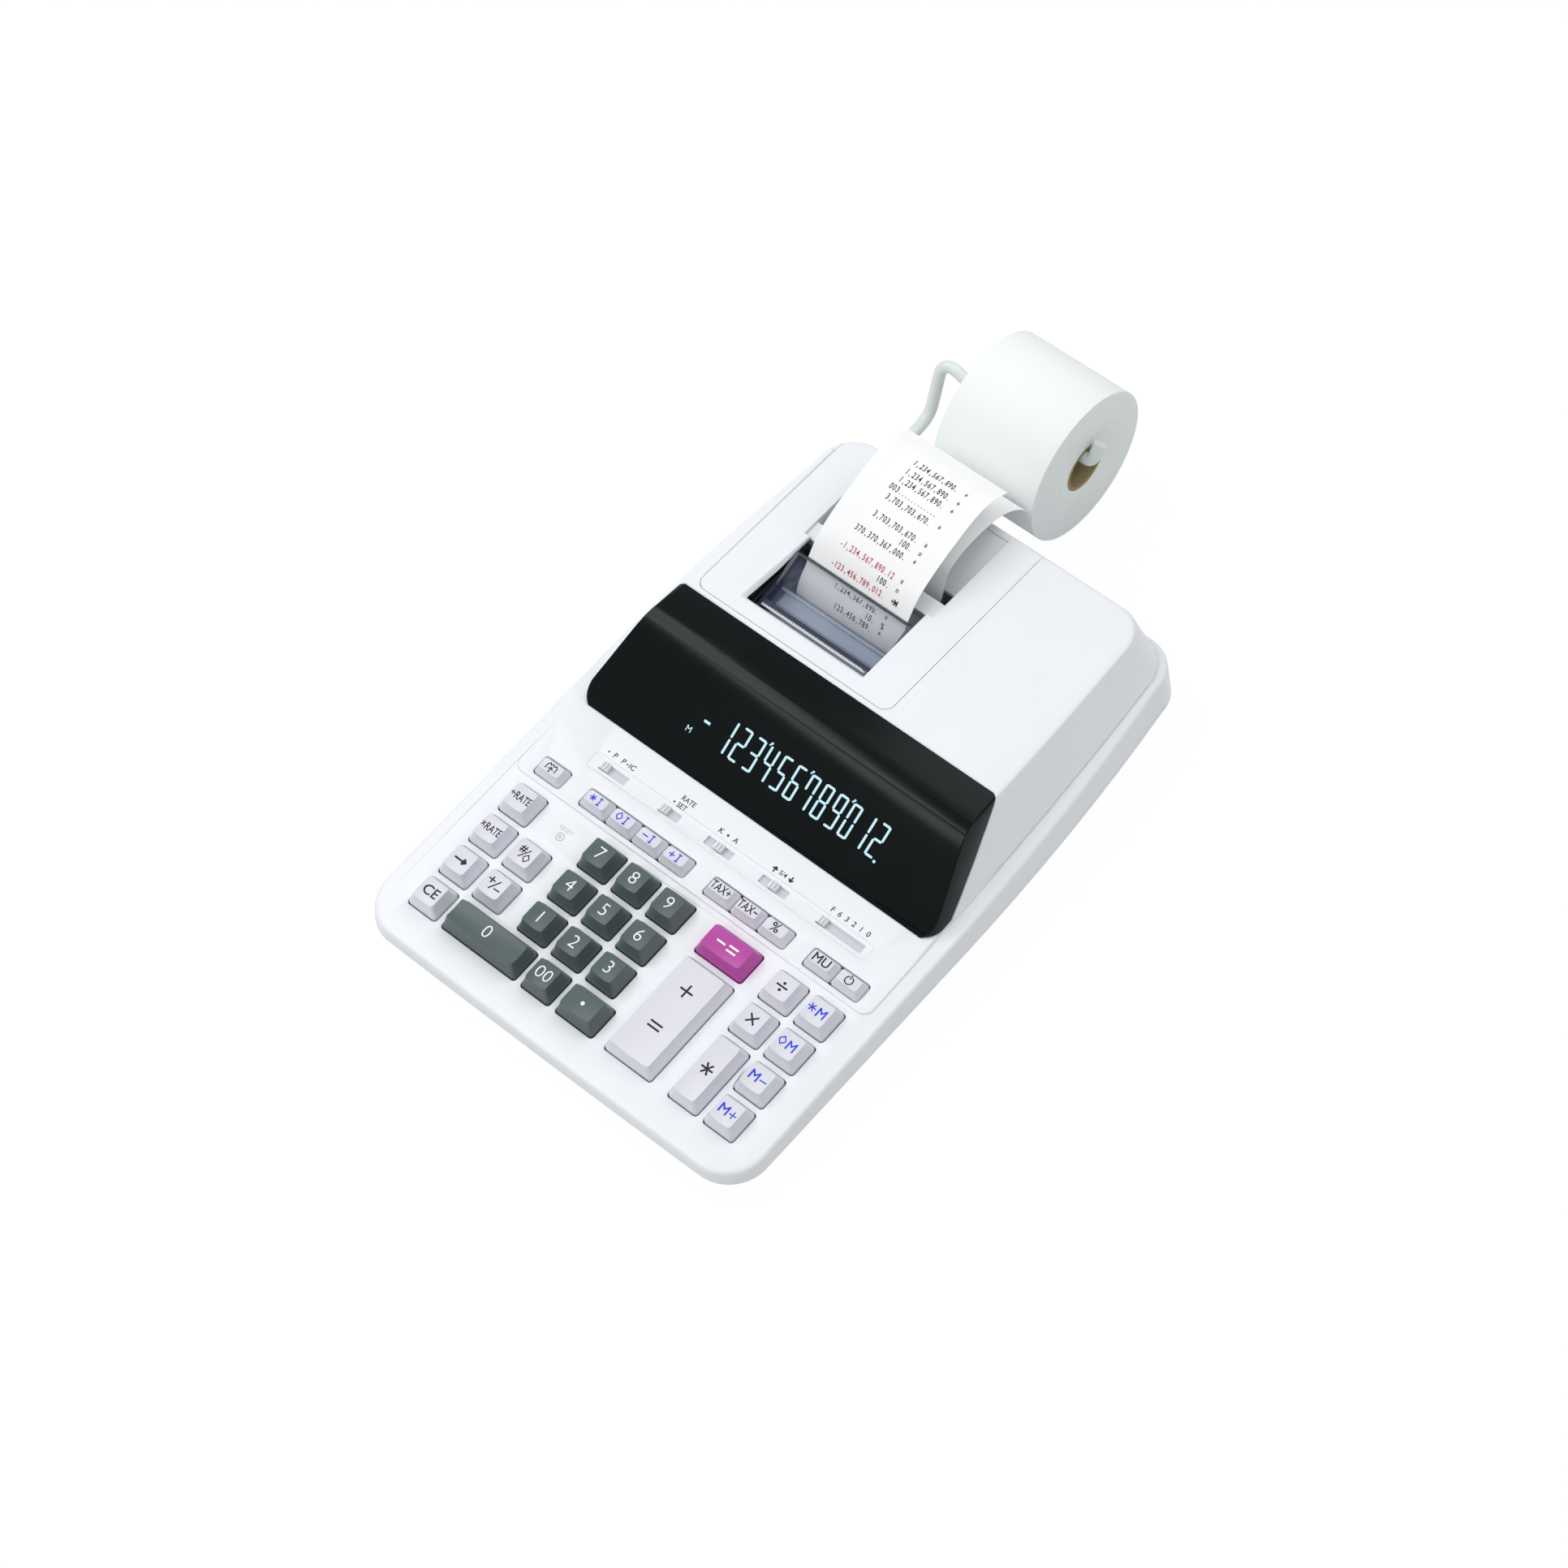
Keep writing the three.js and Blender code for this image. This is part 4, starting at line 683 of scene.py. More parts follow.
class CALCULATOR_OT_stage(bpy.types.Operator):
    """Makes the pale floor, the soft lights and the camera"""

    bl_idname = "calculator.stage"
    bl_label = "Stage"

    def execute(self, context):
        scene = context.scene
        scene.view_settings.view_transform = "Standard"
        self.make_floor()
        self.make_world(scene)
        self.make_lights()
        self.make_camera(scene)
        return {"FINISHED"}

    def make_floor(self):
        deselect()
        bpy.ops.mesh.primitive_plane_add(size=FLOOR_SIZE, location=(0, 0, -FLOOR_DROP))
        floor = named("floor")
        finish = Finish("floor_pale")
        finish.fixed(Specular_IOR_Level=0.0)
        speck = finish.noise(30.0)
        finish.colour(finish.blend(speck, (0.7, 0.72, 0.72, 1), (0.73, 0.75, 0.75, 1)))
        finish.roughness(speck * 0.05 + 0.9)
        rays = finish.node("ShaderNodeLightPath")
        seen = Sum(finish, rays.outputs["Is Camera Ray"])
        mirrored = Sum(finish, rays.outputs["Is Glossy Ray"])
        through = Sum(finish, rays.outputs["Is Transmission Ray"])
        any_seen = finish.node(
            "ShaderNodeMath", {"operation": "MINIMUM"}, {0: seen + mirrored + through, 1: 1.0})
        white = finish.node("ShaderNodeEmission", None, {"Color": (1, 1, 1, 1), "Strength": 1.03})
        mix = finish.node("ShaderNodeMixShader", None, {
            0: Sum(finish, any_seen.outputs[0]) * 0.94,
            1: finish.shader.outputs["BSDF"], 2: white.outputs[0]})
        output = finish.tree.nodes["Material Output"]
        finish.tree.links.new(mix.outputs[0], output.inputs["Surface"])
        floor.data.materials.append(finish.material)

    def make_world(self, scene):
        world = bpy.data.worlds.new("studio")
        world.use_nodes = True
        tree = world.node_tree
        background = tree.nodes["Background"]
        rays = tree.nodes.new("ShaderNodeLightPath")
        strength = tree.nodes.new("ShaderNodeMix")
        tree.links.new(rays.outputs["Is Camera Ray"], strength.inputs[0])
        strength.inputs[2].default_value = SKY_STRENGTH
        strength.inputs[3].default_value = 1.0
        tree.links.new(strength.outputs[0], background.inputs["Strength"])
        background.inputs["Color"].default_value = (0.97, 0.985, 1.0, 1.0)
        scene.world = world

    def make_lights(self):
        for name, place, width, depth, radiance in SOFTBOXES:
            deselect()
            bpy.ops.object.light_add(type="AREA", location=place)
            lamp = bpy.context.object
            lamp.name = name
            lamp.data.shape = "RECTANGLE"
            lamp.data.size = width
            lamp.data.size_y = depth
            lamp.data.energy = radiance * math.pi * width * depth
            lamp.rotation_euler = (-Vector(place)).to_track_quat("-Z", "Y").to_euler()

    def make_camera(self, scene):
        deselect()
        bpy.ops.object.camera_add(location=CAMERA_PLACE)
        camera = bpy.context.object
        camera.name = "camera"
        camera.data.lens = scene.calculator_sizes.camera_lens
        camera.data.sensor_width = CAMERA_SENSOR
        camera.data.clip_start = 0.05
        camera.data.clip_end = 50
        aim = (CAMERA_AIM - CAMERA_PLACE).to_track_quat("-Z", "Y").to_matrix().to_4x4()
        turn = aim @ Matrix.Rotation(CAMERA_ROLL, 4, "Z")
        camera.rotation_euler = turn.to_euler()
        scene.camera = camera


# ------------------------------------------------------------------------ case

NODE_DOUBLED = 0.000005  # metres
NODE_FLAT = math.radians(0.05)  # faces within this angle become one

def refined(node, material, slot, round_width, segments=2, smooth=35):
    """A CAD node's own shape, merged, with its sharp edges rounded."""
    piece = copy_of(NODES[node], node + "_shell")
    piece.parent = None
    piece.hide_render = False
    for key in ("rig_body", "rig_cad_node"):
        del piece[key]
    pick(piece)
    with editing():
        bpy.ops.mesh.select_all(action="SELECT")
        bpy.ops.mesh.remove_doubles(threshold=NODE_DOUBLED)
        bpy.ops.mesh.dissolve_limited(angle_limit=NODE_FLAT)
    modify(piece, "BEVEL", width=round_width * MM, segments=segments,
           limit_method="ANGLE", angle_limit=math.radians(30),
           use_clamp_overlap=False, miter_outer="MITER_SHARP")
    pick(piece)
    bpy.ops.object.shade_smooth_by_angle(angle=math.radians(smooth))
    return finish_piece(piece, material, slot, replaced=(node,), in_deck=False)


class CALCULATOR_OT_case(bpy.types.Operator):
    """Rounds and finishes the upper case, lower case, feet and lead gland"""

    bl_idname = "calculator.case"
    bl_label = "Case"

    def execute(self, context):
        edge = context.scene.calculator_sizes.edge_round
        refined("upper_case", finish_for("case_white"), "case_white", edge, smooth=32)
        # the lower case's finish is the case colour darkened: painted shade
        refined("lower_case", finish_for("case_lower"), "case_grey_white", edge)
        for foot in ("foot_front", "foot_rear"):
            refined(foot, finish_for("rubber"), "rubber", 0.4)
        refined("lead_gland", finish_for("rubber"), "rubber", 0.3)
        return {"FINISHED"}


class CALCULATOR_OT_window(bpy.types.Operator):
    """Finishes the display window and the parts behind it"""

    bl_idname = "calculator.window"
    bl_label = "Display window"

    def execute(self, context):
        refined("display_window", finish_for("window_black"), "window_black", 0.5, 3)
        for node, finish in (("display_module", "display_glass"),
                             ("main_board", "board"), ("key_mat", "key_mat")):
            assign(node, finish)
        return {"FINISHED"}


def assign(node, finish):
    """Gives a CAD node that stays its better material."""
    materials = NODES[node].data.materials
    if not materials:
        materials.append(finish_for(finish))
    for index in range(len(materials)):
        materials[index] = finish_for(finish)


# ----------------------------------------------------------------- the display

WINDOW_TILT = math.radians(39.4)
DIGIT_PITCH = 7.85
DIGIT_WIDTH = 5.3
DIGIT_FIRST = -28.0
DIGIT_MIDDLE = 25.6
DIGIT_SLANT = math.tan(math.radians(4.5))
SEGMENT = 1.15
DISPLAY_SINK = -0.16
SEGMENTS_OF = {
    "0": "abcdef", "1": "bc", "2": "abdeg", "3": "abcdg", "4": "bcfg",
    "5": "acdfg", "6": "acdefg", "7": "abcf", "8": "abcdefg", "9": "abcdfg",
}
DISPLAY_DIGITS = "123456789012"
MARKS_AFTER = (2, 5, 8)


class CALCULATOR_OT_display(bpy.types.Operator):
    """Lights the digits, the separators, the minus sign and the memory sign"""

    bl_idname = "calculator.display"
    bl_label = "Display digits"

    def execute(self, context):
        height = context.scene.calculator_sizes.digit_height
        segments = []
        strokes = []
        for place, digit in enumerate(DISPLAY_DIGITS):
            x = DIGIT_FIRST + place * DIGIT_PITCH
            segments += self.digit(digit, x, height)
            if place in MARKS_AFTER:
                strokes.append((bar, x + 4.5, height * 0.5 + 0.1, 1.9, 62, 0.7))
                strokes.append((dot, x + 4.9, height * 0.5 + 0.7, 0.55))
        last = DIGIT_FIRST + (len(DISPLAY_DIGITS) - 1) * DIGIT_PITCH
        strokes.append((dot, last + 3.6, -height * 0.5 - 0.3, 0.75))
        strokes.append((bar, DIGIT_FIRST - 11.5, 0, 3.4, 0, 1.3))
        strokes.append((lettering, "M", DIGIT_FIRST - 17.6, -7.5, 4.2))
        pointed = marks("segments", segments)
        self.point_the_ends(pointed)
        piece = join([pointed, marks("separators", strokes)], "display_digits")
        low, _ = deck_box("display_window")
        foot = Vector((0, low.y, low.z))
        tilt = Matrix.Translation(foot) @ Matrix.Rotation(WINDOW_TILT, 4, "X")
        slant = Matrix.Identity(4)
        slant[0][1] = DIGIT_SLANT
        piece.data.transform(slant)
        piece.matrix_world = tilt @ Matrix.Translation((0, DIGIT_MIDDLE, DISPLAY_SINK))
        apply_place(piece)
        finish_piece(piece, finish_for("segment"), "display_glass", body="case")
        return {"FINISHED"}

    def digit(self, digit, x, height):
        side = DIGIT_WIDTH / 2 - SEGMENT / 2
        top = height / 2 - SEGMENT / 2
        upright_length = height / 2 - SEGMENT * 0.62
        across = DIGIT_WIDTH - SEGMENT * 1.1
        shapes = {
            "a": (x, top, across, 0), "d": (x, -top, across, 0), "g": (x, 0, across, 0),
            "b": (x + side, height / 4, upright_length, 90),
            "c": (x + side, -height / 4, upright_length, 90),
            "e": (x - side, -height / 4, upright_length, 90),
            "f": (x - side, height / 4, upright_length, 90),
        }
        return [(bar, *shapes[name], SEGMENT) for name in SEGMENTS_OF[digit]]

    def point_the_ends(self, piece):
        pick(piece)
        with editing():
            select_where(piece, is_upright_edge, "EDGE")
            bpy.ops.mesh.bevel(offset=SEGMENT * 0.46, segments=1, affect="EDGES",
                               offset_type="WIDTH")


# ------------------------------------------------------------------------ keys

DECK_TOP = 0.0
PLATFORM_TOP = 1.0
LIP = 1.8
CAP_CORNER = 1.6
CAP_BASE = -1.4
DARK_KEYS = ("key_00", "key_point", *(f"key_{figure}" for figure in range(10)))
MAGENTA_KEYS = ("key_minus_equals",)
SMALL_KEYS = ("key_paper_feed", "key_item_total", "key_item_subtotal", "key_item_minus",
              "key_item_plus", "key_tax_plus", "key_tax_minus", "key_percent",
              "key_mark_up", "key_power")
# share of the lean and share of the height at each level of a cap's side
CAP_PROFILE = ((0.0, 0.10), (0.10, 0.20), (0.32, 0.34), (0.52, 0.50), (0.72, 0.70),
               (0.92, 0.90), (1.0, 1.0))


def key_names():
    return [node for node in NODES if node.startswith("key_") and node != "key_mat"]


def dish_tool(width, depth, height, lean, dish, along_y, lift=0.0):
    """The round bar that hollows a cap's top, raised by `lift`."""
    span = (width if along_y else depth) / 2 - lean
    radius = (span * span + dish * dish) / (2 * dish)
    deselect()
    turn = (math.pi / 2, 0, 0) if along_y else (0, math.pi / 2, 0)
    bpy.ops.mesh.primitive_cylinder_add(
        vertices=360, radius=radius, depth=max(width, depth) * 2,
        location=(0, 0, height - dish + radius + lift), rotation=turn)
    return apply_place(bpy.context.object)


def cap_form(node):
    """Middle, size, lean, dish and the dish's direction of a key's cap."""
    sizes = bpy.context.scene.calculator_sizes
    low, high = deck_box(node)
    small = node in SMALL_KEYS
    lean = sizes.key_lean - (0.3 if small else 0.0)
    dish = sizes.key_dish * (0.35 if small else 1.0)
    form = (high.x - low.x, high.y - low.y - 2 * LIP, high.z, lean, dish,
            not (small or node == "key_0"))
    return Vector(((low.x + high.x) / 2, (low.y + high.y) / 2, 0)), form


def cap_shape(width, depth, height, lean, dish, along_y):
    """A cap about its own middle: leaning sides that flare at the foot, dished top."""
    piece = tablet(width, depth, CAP_BASE, CAP_PROFILE[0][1] * height, CAP_CORNER)
    with editing():
        select_where(piece, faces_up)
        was = (width / 2, depth / 2)
        reached = CAP_PROFILE[0][1] * height
        for share, rise in CAP_PROFILE[1:]:
            now = (width / 2 - lean * share, depth / 2 - lean * share)
            raise_top(rise * height - reached, (now[0] / was[0], now[1] / was[1]))
            was, reached = now, rise * height
    cut(piece, dish_tool(width, depth, height, lean, dish, along_y))
    return soften(piece, 0.38, 3, 28, 40)


class CALCULATOR_OT_keys(bpy.types.Operator):
    """Models each size of key cap once and copies it to its places"""

    bl_idname = "calculator.keys"
    bl_label = "Key caps"

    def execute(self, context):
        patterns = {}
        for node in key_names():
            middle, form = cap_form(node)
            pattern = tuple(round(size, 1) for size in form[:3])
            if pattern not in patterns:
                patterns[pattern] = cap_shape(*form)
            piece = copy_of(patterns[pattern], node + "_cap")
            piece.location = middle
            finish, slot = key_finish(node)
            finish_piece(piece, finish, slot, replaced=(node,))
        for shape in patterns.values():
            bpy.data.objects.remove(shape)
        return {"FINISHED"}


def key_finish(node):
    if node in DARK_KEYS:
        return finish_for("key_dark"), "key_dark"
    if node in MAGENTA_KEYS:
        return finish_for("key_magenta"), "key_magenta"
    return finish_for("key_light"), "key_light"


# ---------------------------------------------------------------------- legends


def star(x, y, size, stroke):
    return [(bar, x, y, size, angle, stroke) for angle in (0, 60, 120)]


def diamond(x, y, size, stroke):
    half = size * 0.25
    return [(bar, x + sx * half, y + sy * half * 1.3, size * 0.82, -sx * sy * 52, stroke)
            for sx in (-1, 1) for sy in (-1, 1)]


def serif_i(x, y, height, stroke):
    arm = height * 0.42
    return [(bar, x, y, height, 90, stroke), (bar, x, y + height / 2 - stroke / 2, arm, 0, stroke),
            (bar, x, y - height / 2 + stroke / 2, arm, 0, stroke)]


def plus(x, y, size, stroke):
    return [(bar, x, y, size, 0, stroke), (bar, x, y, size, 90, stroke)]


def power_sign(radius, stroke):
    steps = 14
    arc = []
    for step in range(steps):
        turn = math.radians(125 + 290 * step / (steps - 1))
        arc.append((bar, radius * math.cos(turn), radius * math.sin(turn),
                    radius * 0.46, math.degrees(turn) + 90, stroke))
    return arc + [(bar, 0, radius * 0.95, radius * 1.1, 90, stroke)]


def text(body, size, x=0.0, y=0.0, squeeze=1.0, weight=0.012):
    return (lettering, body, x, y, size, STROKE_HEIGHT, squeeze, weight * size)


def figure(body, size=9.0):
    return text(body, size, weight=-0.012)


def figure_keys(figures):
    return {"key_" + one: (WHITE, [figure(one)]) for one in figures}


BLUE = "legend_blue"
BLACK = "legend_black"
WHITE = "legend_white"
LEGENDS = {
    "key_clear_entry": (BLACK, [text("CE", 6.9)]),
    **figure_keys("0"),
    "key_00": (WHITE, [figure("00", 8.6)]),
    "key_point": (WHITE, [(dot, 0, 0, 0.95)]),
    "key_plus_equals": (BLACK, plus(0, 12.4, 6.8, 0.95)
                        + [(bar, 0, -6.9, 6.6, 0, 0.95), (bar, 0, -9.3, 6.6, 0, 0.95)]),
    "key_total": (BLACK, star(0, 0, 6.2, 0.9)),
    "key_memory_plus": (BLUE, [text("M", 6.6, -2.0)] + plus(2.9, 0, 3.8, 0.6)),
    "key_backspace": (BLACK, [(bar, -0.9, 0, 5.4, 0, 0.9), (bar, 2.0, 0.65, 2.6, -40, 0.95),
                              (bar, 2.0, -0.65, 2.6, 40, 0.95), (bar, 1.5, 0, 1.8, 0, 1.8)]),
    "key_change_sign": (BLACK, plus(-2.5, 1.5, 3.4, 0.65)
                        + [(bar, 0, 0, 6.4, 62, 0.65), (bar, 2.5, -1.5, 3.4, 0, 0.65)]),
    **figure_keys("123"),
    "key_memory_minus": (BLUE, [text("M", 6.6, -2.0), (bar, 2.9, 0, 3.8, 0, 0.6)]),
    "key_rate_multiply": (BLACK, [text("×RATE", 5.4, squeeze=0.7)]),
    "key_subtotal": (BLACK, [(bar, -2.4, 1.5, 4.0, 80, 0.55), (bar, -1.1, 1.5, 4.0, 80, 0.55),
                             (bar, -1.75, 2.2, 3.4, 0, 0.55), (bar, -1.75, 0.9, 3.4, 0, 0.55),
                             (bar, 0, 0, 6.6, 58, 0.55)] + diamond(2.2, -1.5, 3.2, 0.55)),
    **figure_keys("456"),
    "key_multiply": (BLACK, [(bar, 0, 0, 6.2, 45, 0.85), (bar, 0, 0, 6.2, -45, 0.85)]),
    "key_memory_subtotal": (BLUE, diamond(-3.3, 0.5, 3.2, 0.55) + [text("M", 6.6, 1.7)]),
    "key_rate_divide": (BLACK, [text("÷RATE", 5.4, squeeze=0.7)]),
    **figure_keys("789"),
    "key_minus_equals": (WHITE, [(bar, -3.6, 0.2, 4.6, 0, 0.95),
                                 (bar, 2.9, 1.2, 5.2, 0, 0.95), (bar, 2.9, -1.2, 5.2, 0, 0.95)]),
    "key_divide": (BLACK, [(bar, 0, 0, 5.8, 0, 0.85), (dot, 0, 1.85, 0.72),
                           (dot, 0, -1.85, 0.72)]),
    "key_memory_total": (BLUE, star(-3.3, 0.4, 4.0, 0.6) + [text("M", 6.6, 1.8)]),
    "key_paper_feed": (BLACK, [(bar, 0.85 * (step - 2.5), 1.5, 1.35, 50 - 100 * (step % 2), 0.5)
                               for step in range(6)]
                       + [(bar, -2.6, -0.2, 2.6, 90, 0.5), (bar, 2.6, -0.2, 2.6, 90, 0.5),
                          (bar, 0, -1.2, 2.6, 90, 0.6), (bar, -0.6, -0.3, 1.7, 45, 0.5),
                          (bar, 0.6, -0.3, 1.7, -45, 0.5)]),
    "key_item_total": (BLUE, star(-2.0, 0.2, 3.2, 0.6) + serif_i(1.8, 0, 4.2, 0.6)),
    "key_item_subtotal": (BLUE, diamond(-2.0, 0.2, 3.0, 0.55) + serif_i(1.8, 0, 4.2, 0.6)),
    "key_item_minus": (BLUE, [(bar, -2.0, 0, 3.0, 0, 0.6)] + serif_i(1.6, 0, 4.2, 0.6)),
    "key_item_plus": (BLUE, plus(-2.0, 0, 3.0, 0.6) + serif_i(1.6, 0, 4.2, 0.6)),
    "key_tax_plus": (BLACK, [text("TAX+", 5.8, squeeze=0.72)]),
    "key_tax_minus": (BLACK, [text("TAX−", 5.8, squeeze=0.72)]),
    "key_percent": (BLACK, [text("%", 6.4)]),
    "key_mark_up": (BLACK, [text("MU", 6.2)]),
    "key_power": (BLACK, power_sign(1.9, 0.55)),
}
LEGEND_PROUD = 0.05
LEGEND_DEPTH = 6.0
RESET_PLACE = (-61.7, 83.4)
SWITCH_WORDS_Y = 128.6
DECIMAL_WORDS = (("F", 57.7), ("6", 61.7), ("3", 65.7), ("2", 69.7), ("1", 73.7), ("0", 77.7))


class CALCULATOR_OT_legends(bpy.types.Operator):
    """Prints each key's legend and the words beside the switches"""

    bl_idname = "calculator.legends"
    bl_label = "Legends"

    def execute(self, context):
        for node, (ink, strokes) in LEGENDS.items():
            piece = marks(node + "_legend", strokes)
            middle, form = cap_form(node)
            piece.location = (0, 0, form[2])
            piece.scale = (1, 1, LEGEND_DEPTH)
            apply_place(piece)
            cut(piece, dish_tool(*form, LEGEND_PROUD), use_self=True)
            piece.location = middle
            finish_piece(piece, finish_for(ink), key_finish(node)[1], body=NODE_BODY[node])
        self.switch_words()
        return {"FINISHED"}

    def switch_words(self):
        y = SWITCH_WORDS_Y
        words = marks("switch_words", [
            (dot, -72.6, y, 0.45), text("P", 3.7, -68.9, y), text("P", 3.7, -64.0, y),
            (dot, -61.6, y, 0.45), text("IC", 3.7, -58.9, y),
            text("RATE", 3.6, -27.4, y + 2.3, 0.9), (dot, -32.6, y - 1.4, 0.5),
            text("SET", 3.6, -28.2, y - 1.5, 0.9),
            text("K", 3.7, -6.4, y), (dot, -2.4, y, 0.6), text("A", 3.7, 2.0, y),
            (bar, 24.8, y - 0.6, 2.2, 90, 0.7), (bar, 24.25, y + 0.5, 1.9, 45, 0.75),
            (bar, 25.35, y + 0.5, 1.9, -45, 0.75), text("5/4", 3.2, 29.3, y),
            (bar, 34.0, y + 0.6, 2.2, 90, 0.7), (bar, 33.45, y - 0.5, 1.9, -45, 0.75),
            (bar, 34.55, y - 0.5, 1.9, 45, 0.75),
            *(text(word, 3.7, x, y) for word, x in DECIMAL_WORDS),
        ])
        words.location = (0, 0, PLATFORM_TOP + 0.03 - 0.2)
        finish_piece(words, finish_for("legend_black"), "case_white", body="case")
        reset = marks("reset_word", [text("RESET", 2.8, RESET_PLACE[0], RESET_PLACE[1] + 4)])
        reset.location = (0, 0, DECK_TOP + 0.02 - 0.2)
        finish_piece(reset, finish_for("legend_faint"), "case_white", body="case")
        deselect()
        bpy.ops.mesh.primitive_torus_add(
            major_radius=1.9, minor_radius=0.13, major_segments=40, minor_segments=8,
            location=(*RESET_PLACE, DECK_TOP))
        ring = apply_place(named("reset_ring"))
        finish_piece(ring, finish_for("reset_grey"), "case_white", body="case")
        # a grey plug in the reset hole: painted shade of the hole
        plug = upright(1.05, 1.6, *RESET_PLACE, DECK_TOP - 1.1)
        plug.name = "reset_hole_painted_shade"
        finish_piece(plug, finish_for("recess_painted_shade"), "case_white", body="case")


# --------------------------------------------------------------------- switches

SWITCHES = ("switch_print", "switch_rate_set", "switch_constant", "switch_rounding",
            "switch_decimal")
# x of each knob's first and last stop
SWITCH_STOPS = ((-68.8, -58.8), (-33.6, -27.6), (-6.8, 3.2), (24.8, 34.8), (57.7, 77.7))
SLOT_MARGIN = 2.8
SLOT_HALF = 2.3
SLOT_FLOOR = -0.8
GRIP = 3.5
GROOVES_X = (-1.75, 0.0, 1.75)
GROOVE_HALF = 0.55
GROOVE_DEPTH = 1.3


class CALCULATOR_OT_switches(bpy.types.Operator):
    """Models a ribbed slide knob and copies it to each switch"""

    bl_idname = "calculator.switches"
    bl_label = "Slide switches"

    def execute(self, context):
        low, high = deck_box(SWITCHES[0])
        width = high.x - low.x
        knob = self.knob(width, high.z)
        for node in SWITCHES:
            low, high = deck_box(node)
            piece = copy_of(knob, node + "_knob")
            piece.location = ((low.x + high.x) / 2, (low.y + high.y) / 2, 0)
            finish_piece(piece, finish_for("switch_white"), "switch_white", replaced=(node,))
        bpy.data.objects.remove(knob)
        self.slot_painted_shade(low.y, high.y)
        return {"FINISHED"}

    def slot_painted_shade(self, front, rear):
        """Pale floors that close the slots just under the knobs; their grey is painted shade of
        the recesses.
        """
        middle = (front + rear) / 2
        floors = [block(left - SLOT_MARGIN, right + SLOT_MARGIN, middle - SLOT_HALF,
                        middle + SLOT_HALF, SLOT_FLOOR - 1.2, SLOT_FLOOR)
                  for left, right in SWITCH_STOPS]
        piece = join(floors, "switch_slot_painted_shade")
        finish_piece(piece, finish_for("recess_painted_shade"), "case_white", body="case")

    def knob(self, width, top):
        """A low slide whose three grooves leave two ribs for the fingertip."""
        piece = block(-width / 2, width / 2, -GRIP / 2, GRIP / 2, SLOT_FLOOR + 0.05, top)
        cut(piece, join([block(x - GROOVE_HALF, x + GROOVE_HALF, -3, 3, top - GROOVE_DEPTH,
                               top + 1) for x in GROOVES_X], "grooves"))
        return soften(piece, 0.15, 2)


# ---------------------------------------------------------------------- printer

TAPE_CENTRE = -26.7
TAPE_WIDTH_INSIDE = 66.6
# the cutter's outer skin in side view, from over its pins to the tearing edge
CUTTER_SKIN = ((217.4, 22.2), (231.1, 24.0), (247.2, 29.0))
GUARD_FRONT = 216.2
GUARD_REAR = 235.6
GUARD_TOP = 13.6
GUARD_RIDGE = 1.6
GUARD_RAIL = 3
ROLLER_INSET = 7  # from the end of a shaft to its sleeve
BORDER = 1.8
BAND = (3.2, 5.2)  # dark band, from the cutter's front edge
SCALE_PITCH = 1.3
TEETH_PITCH = 1.15

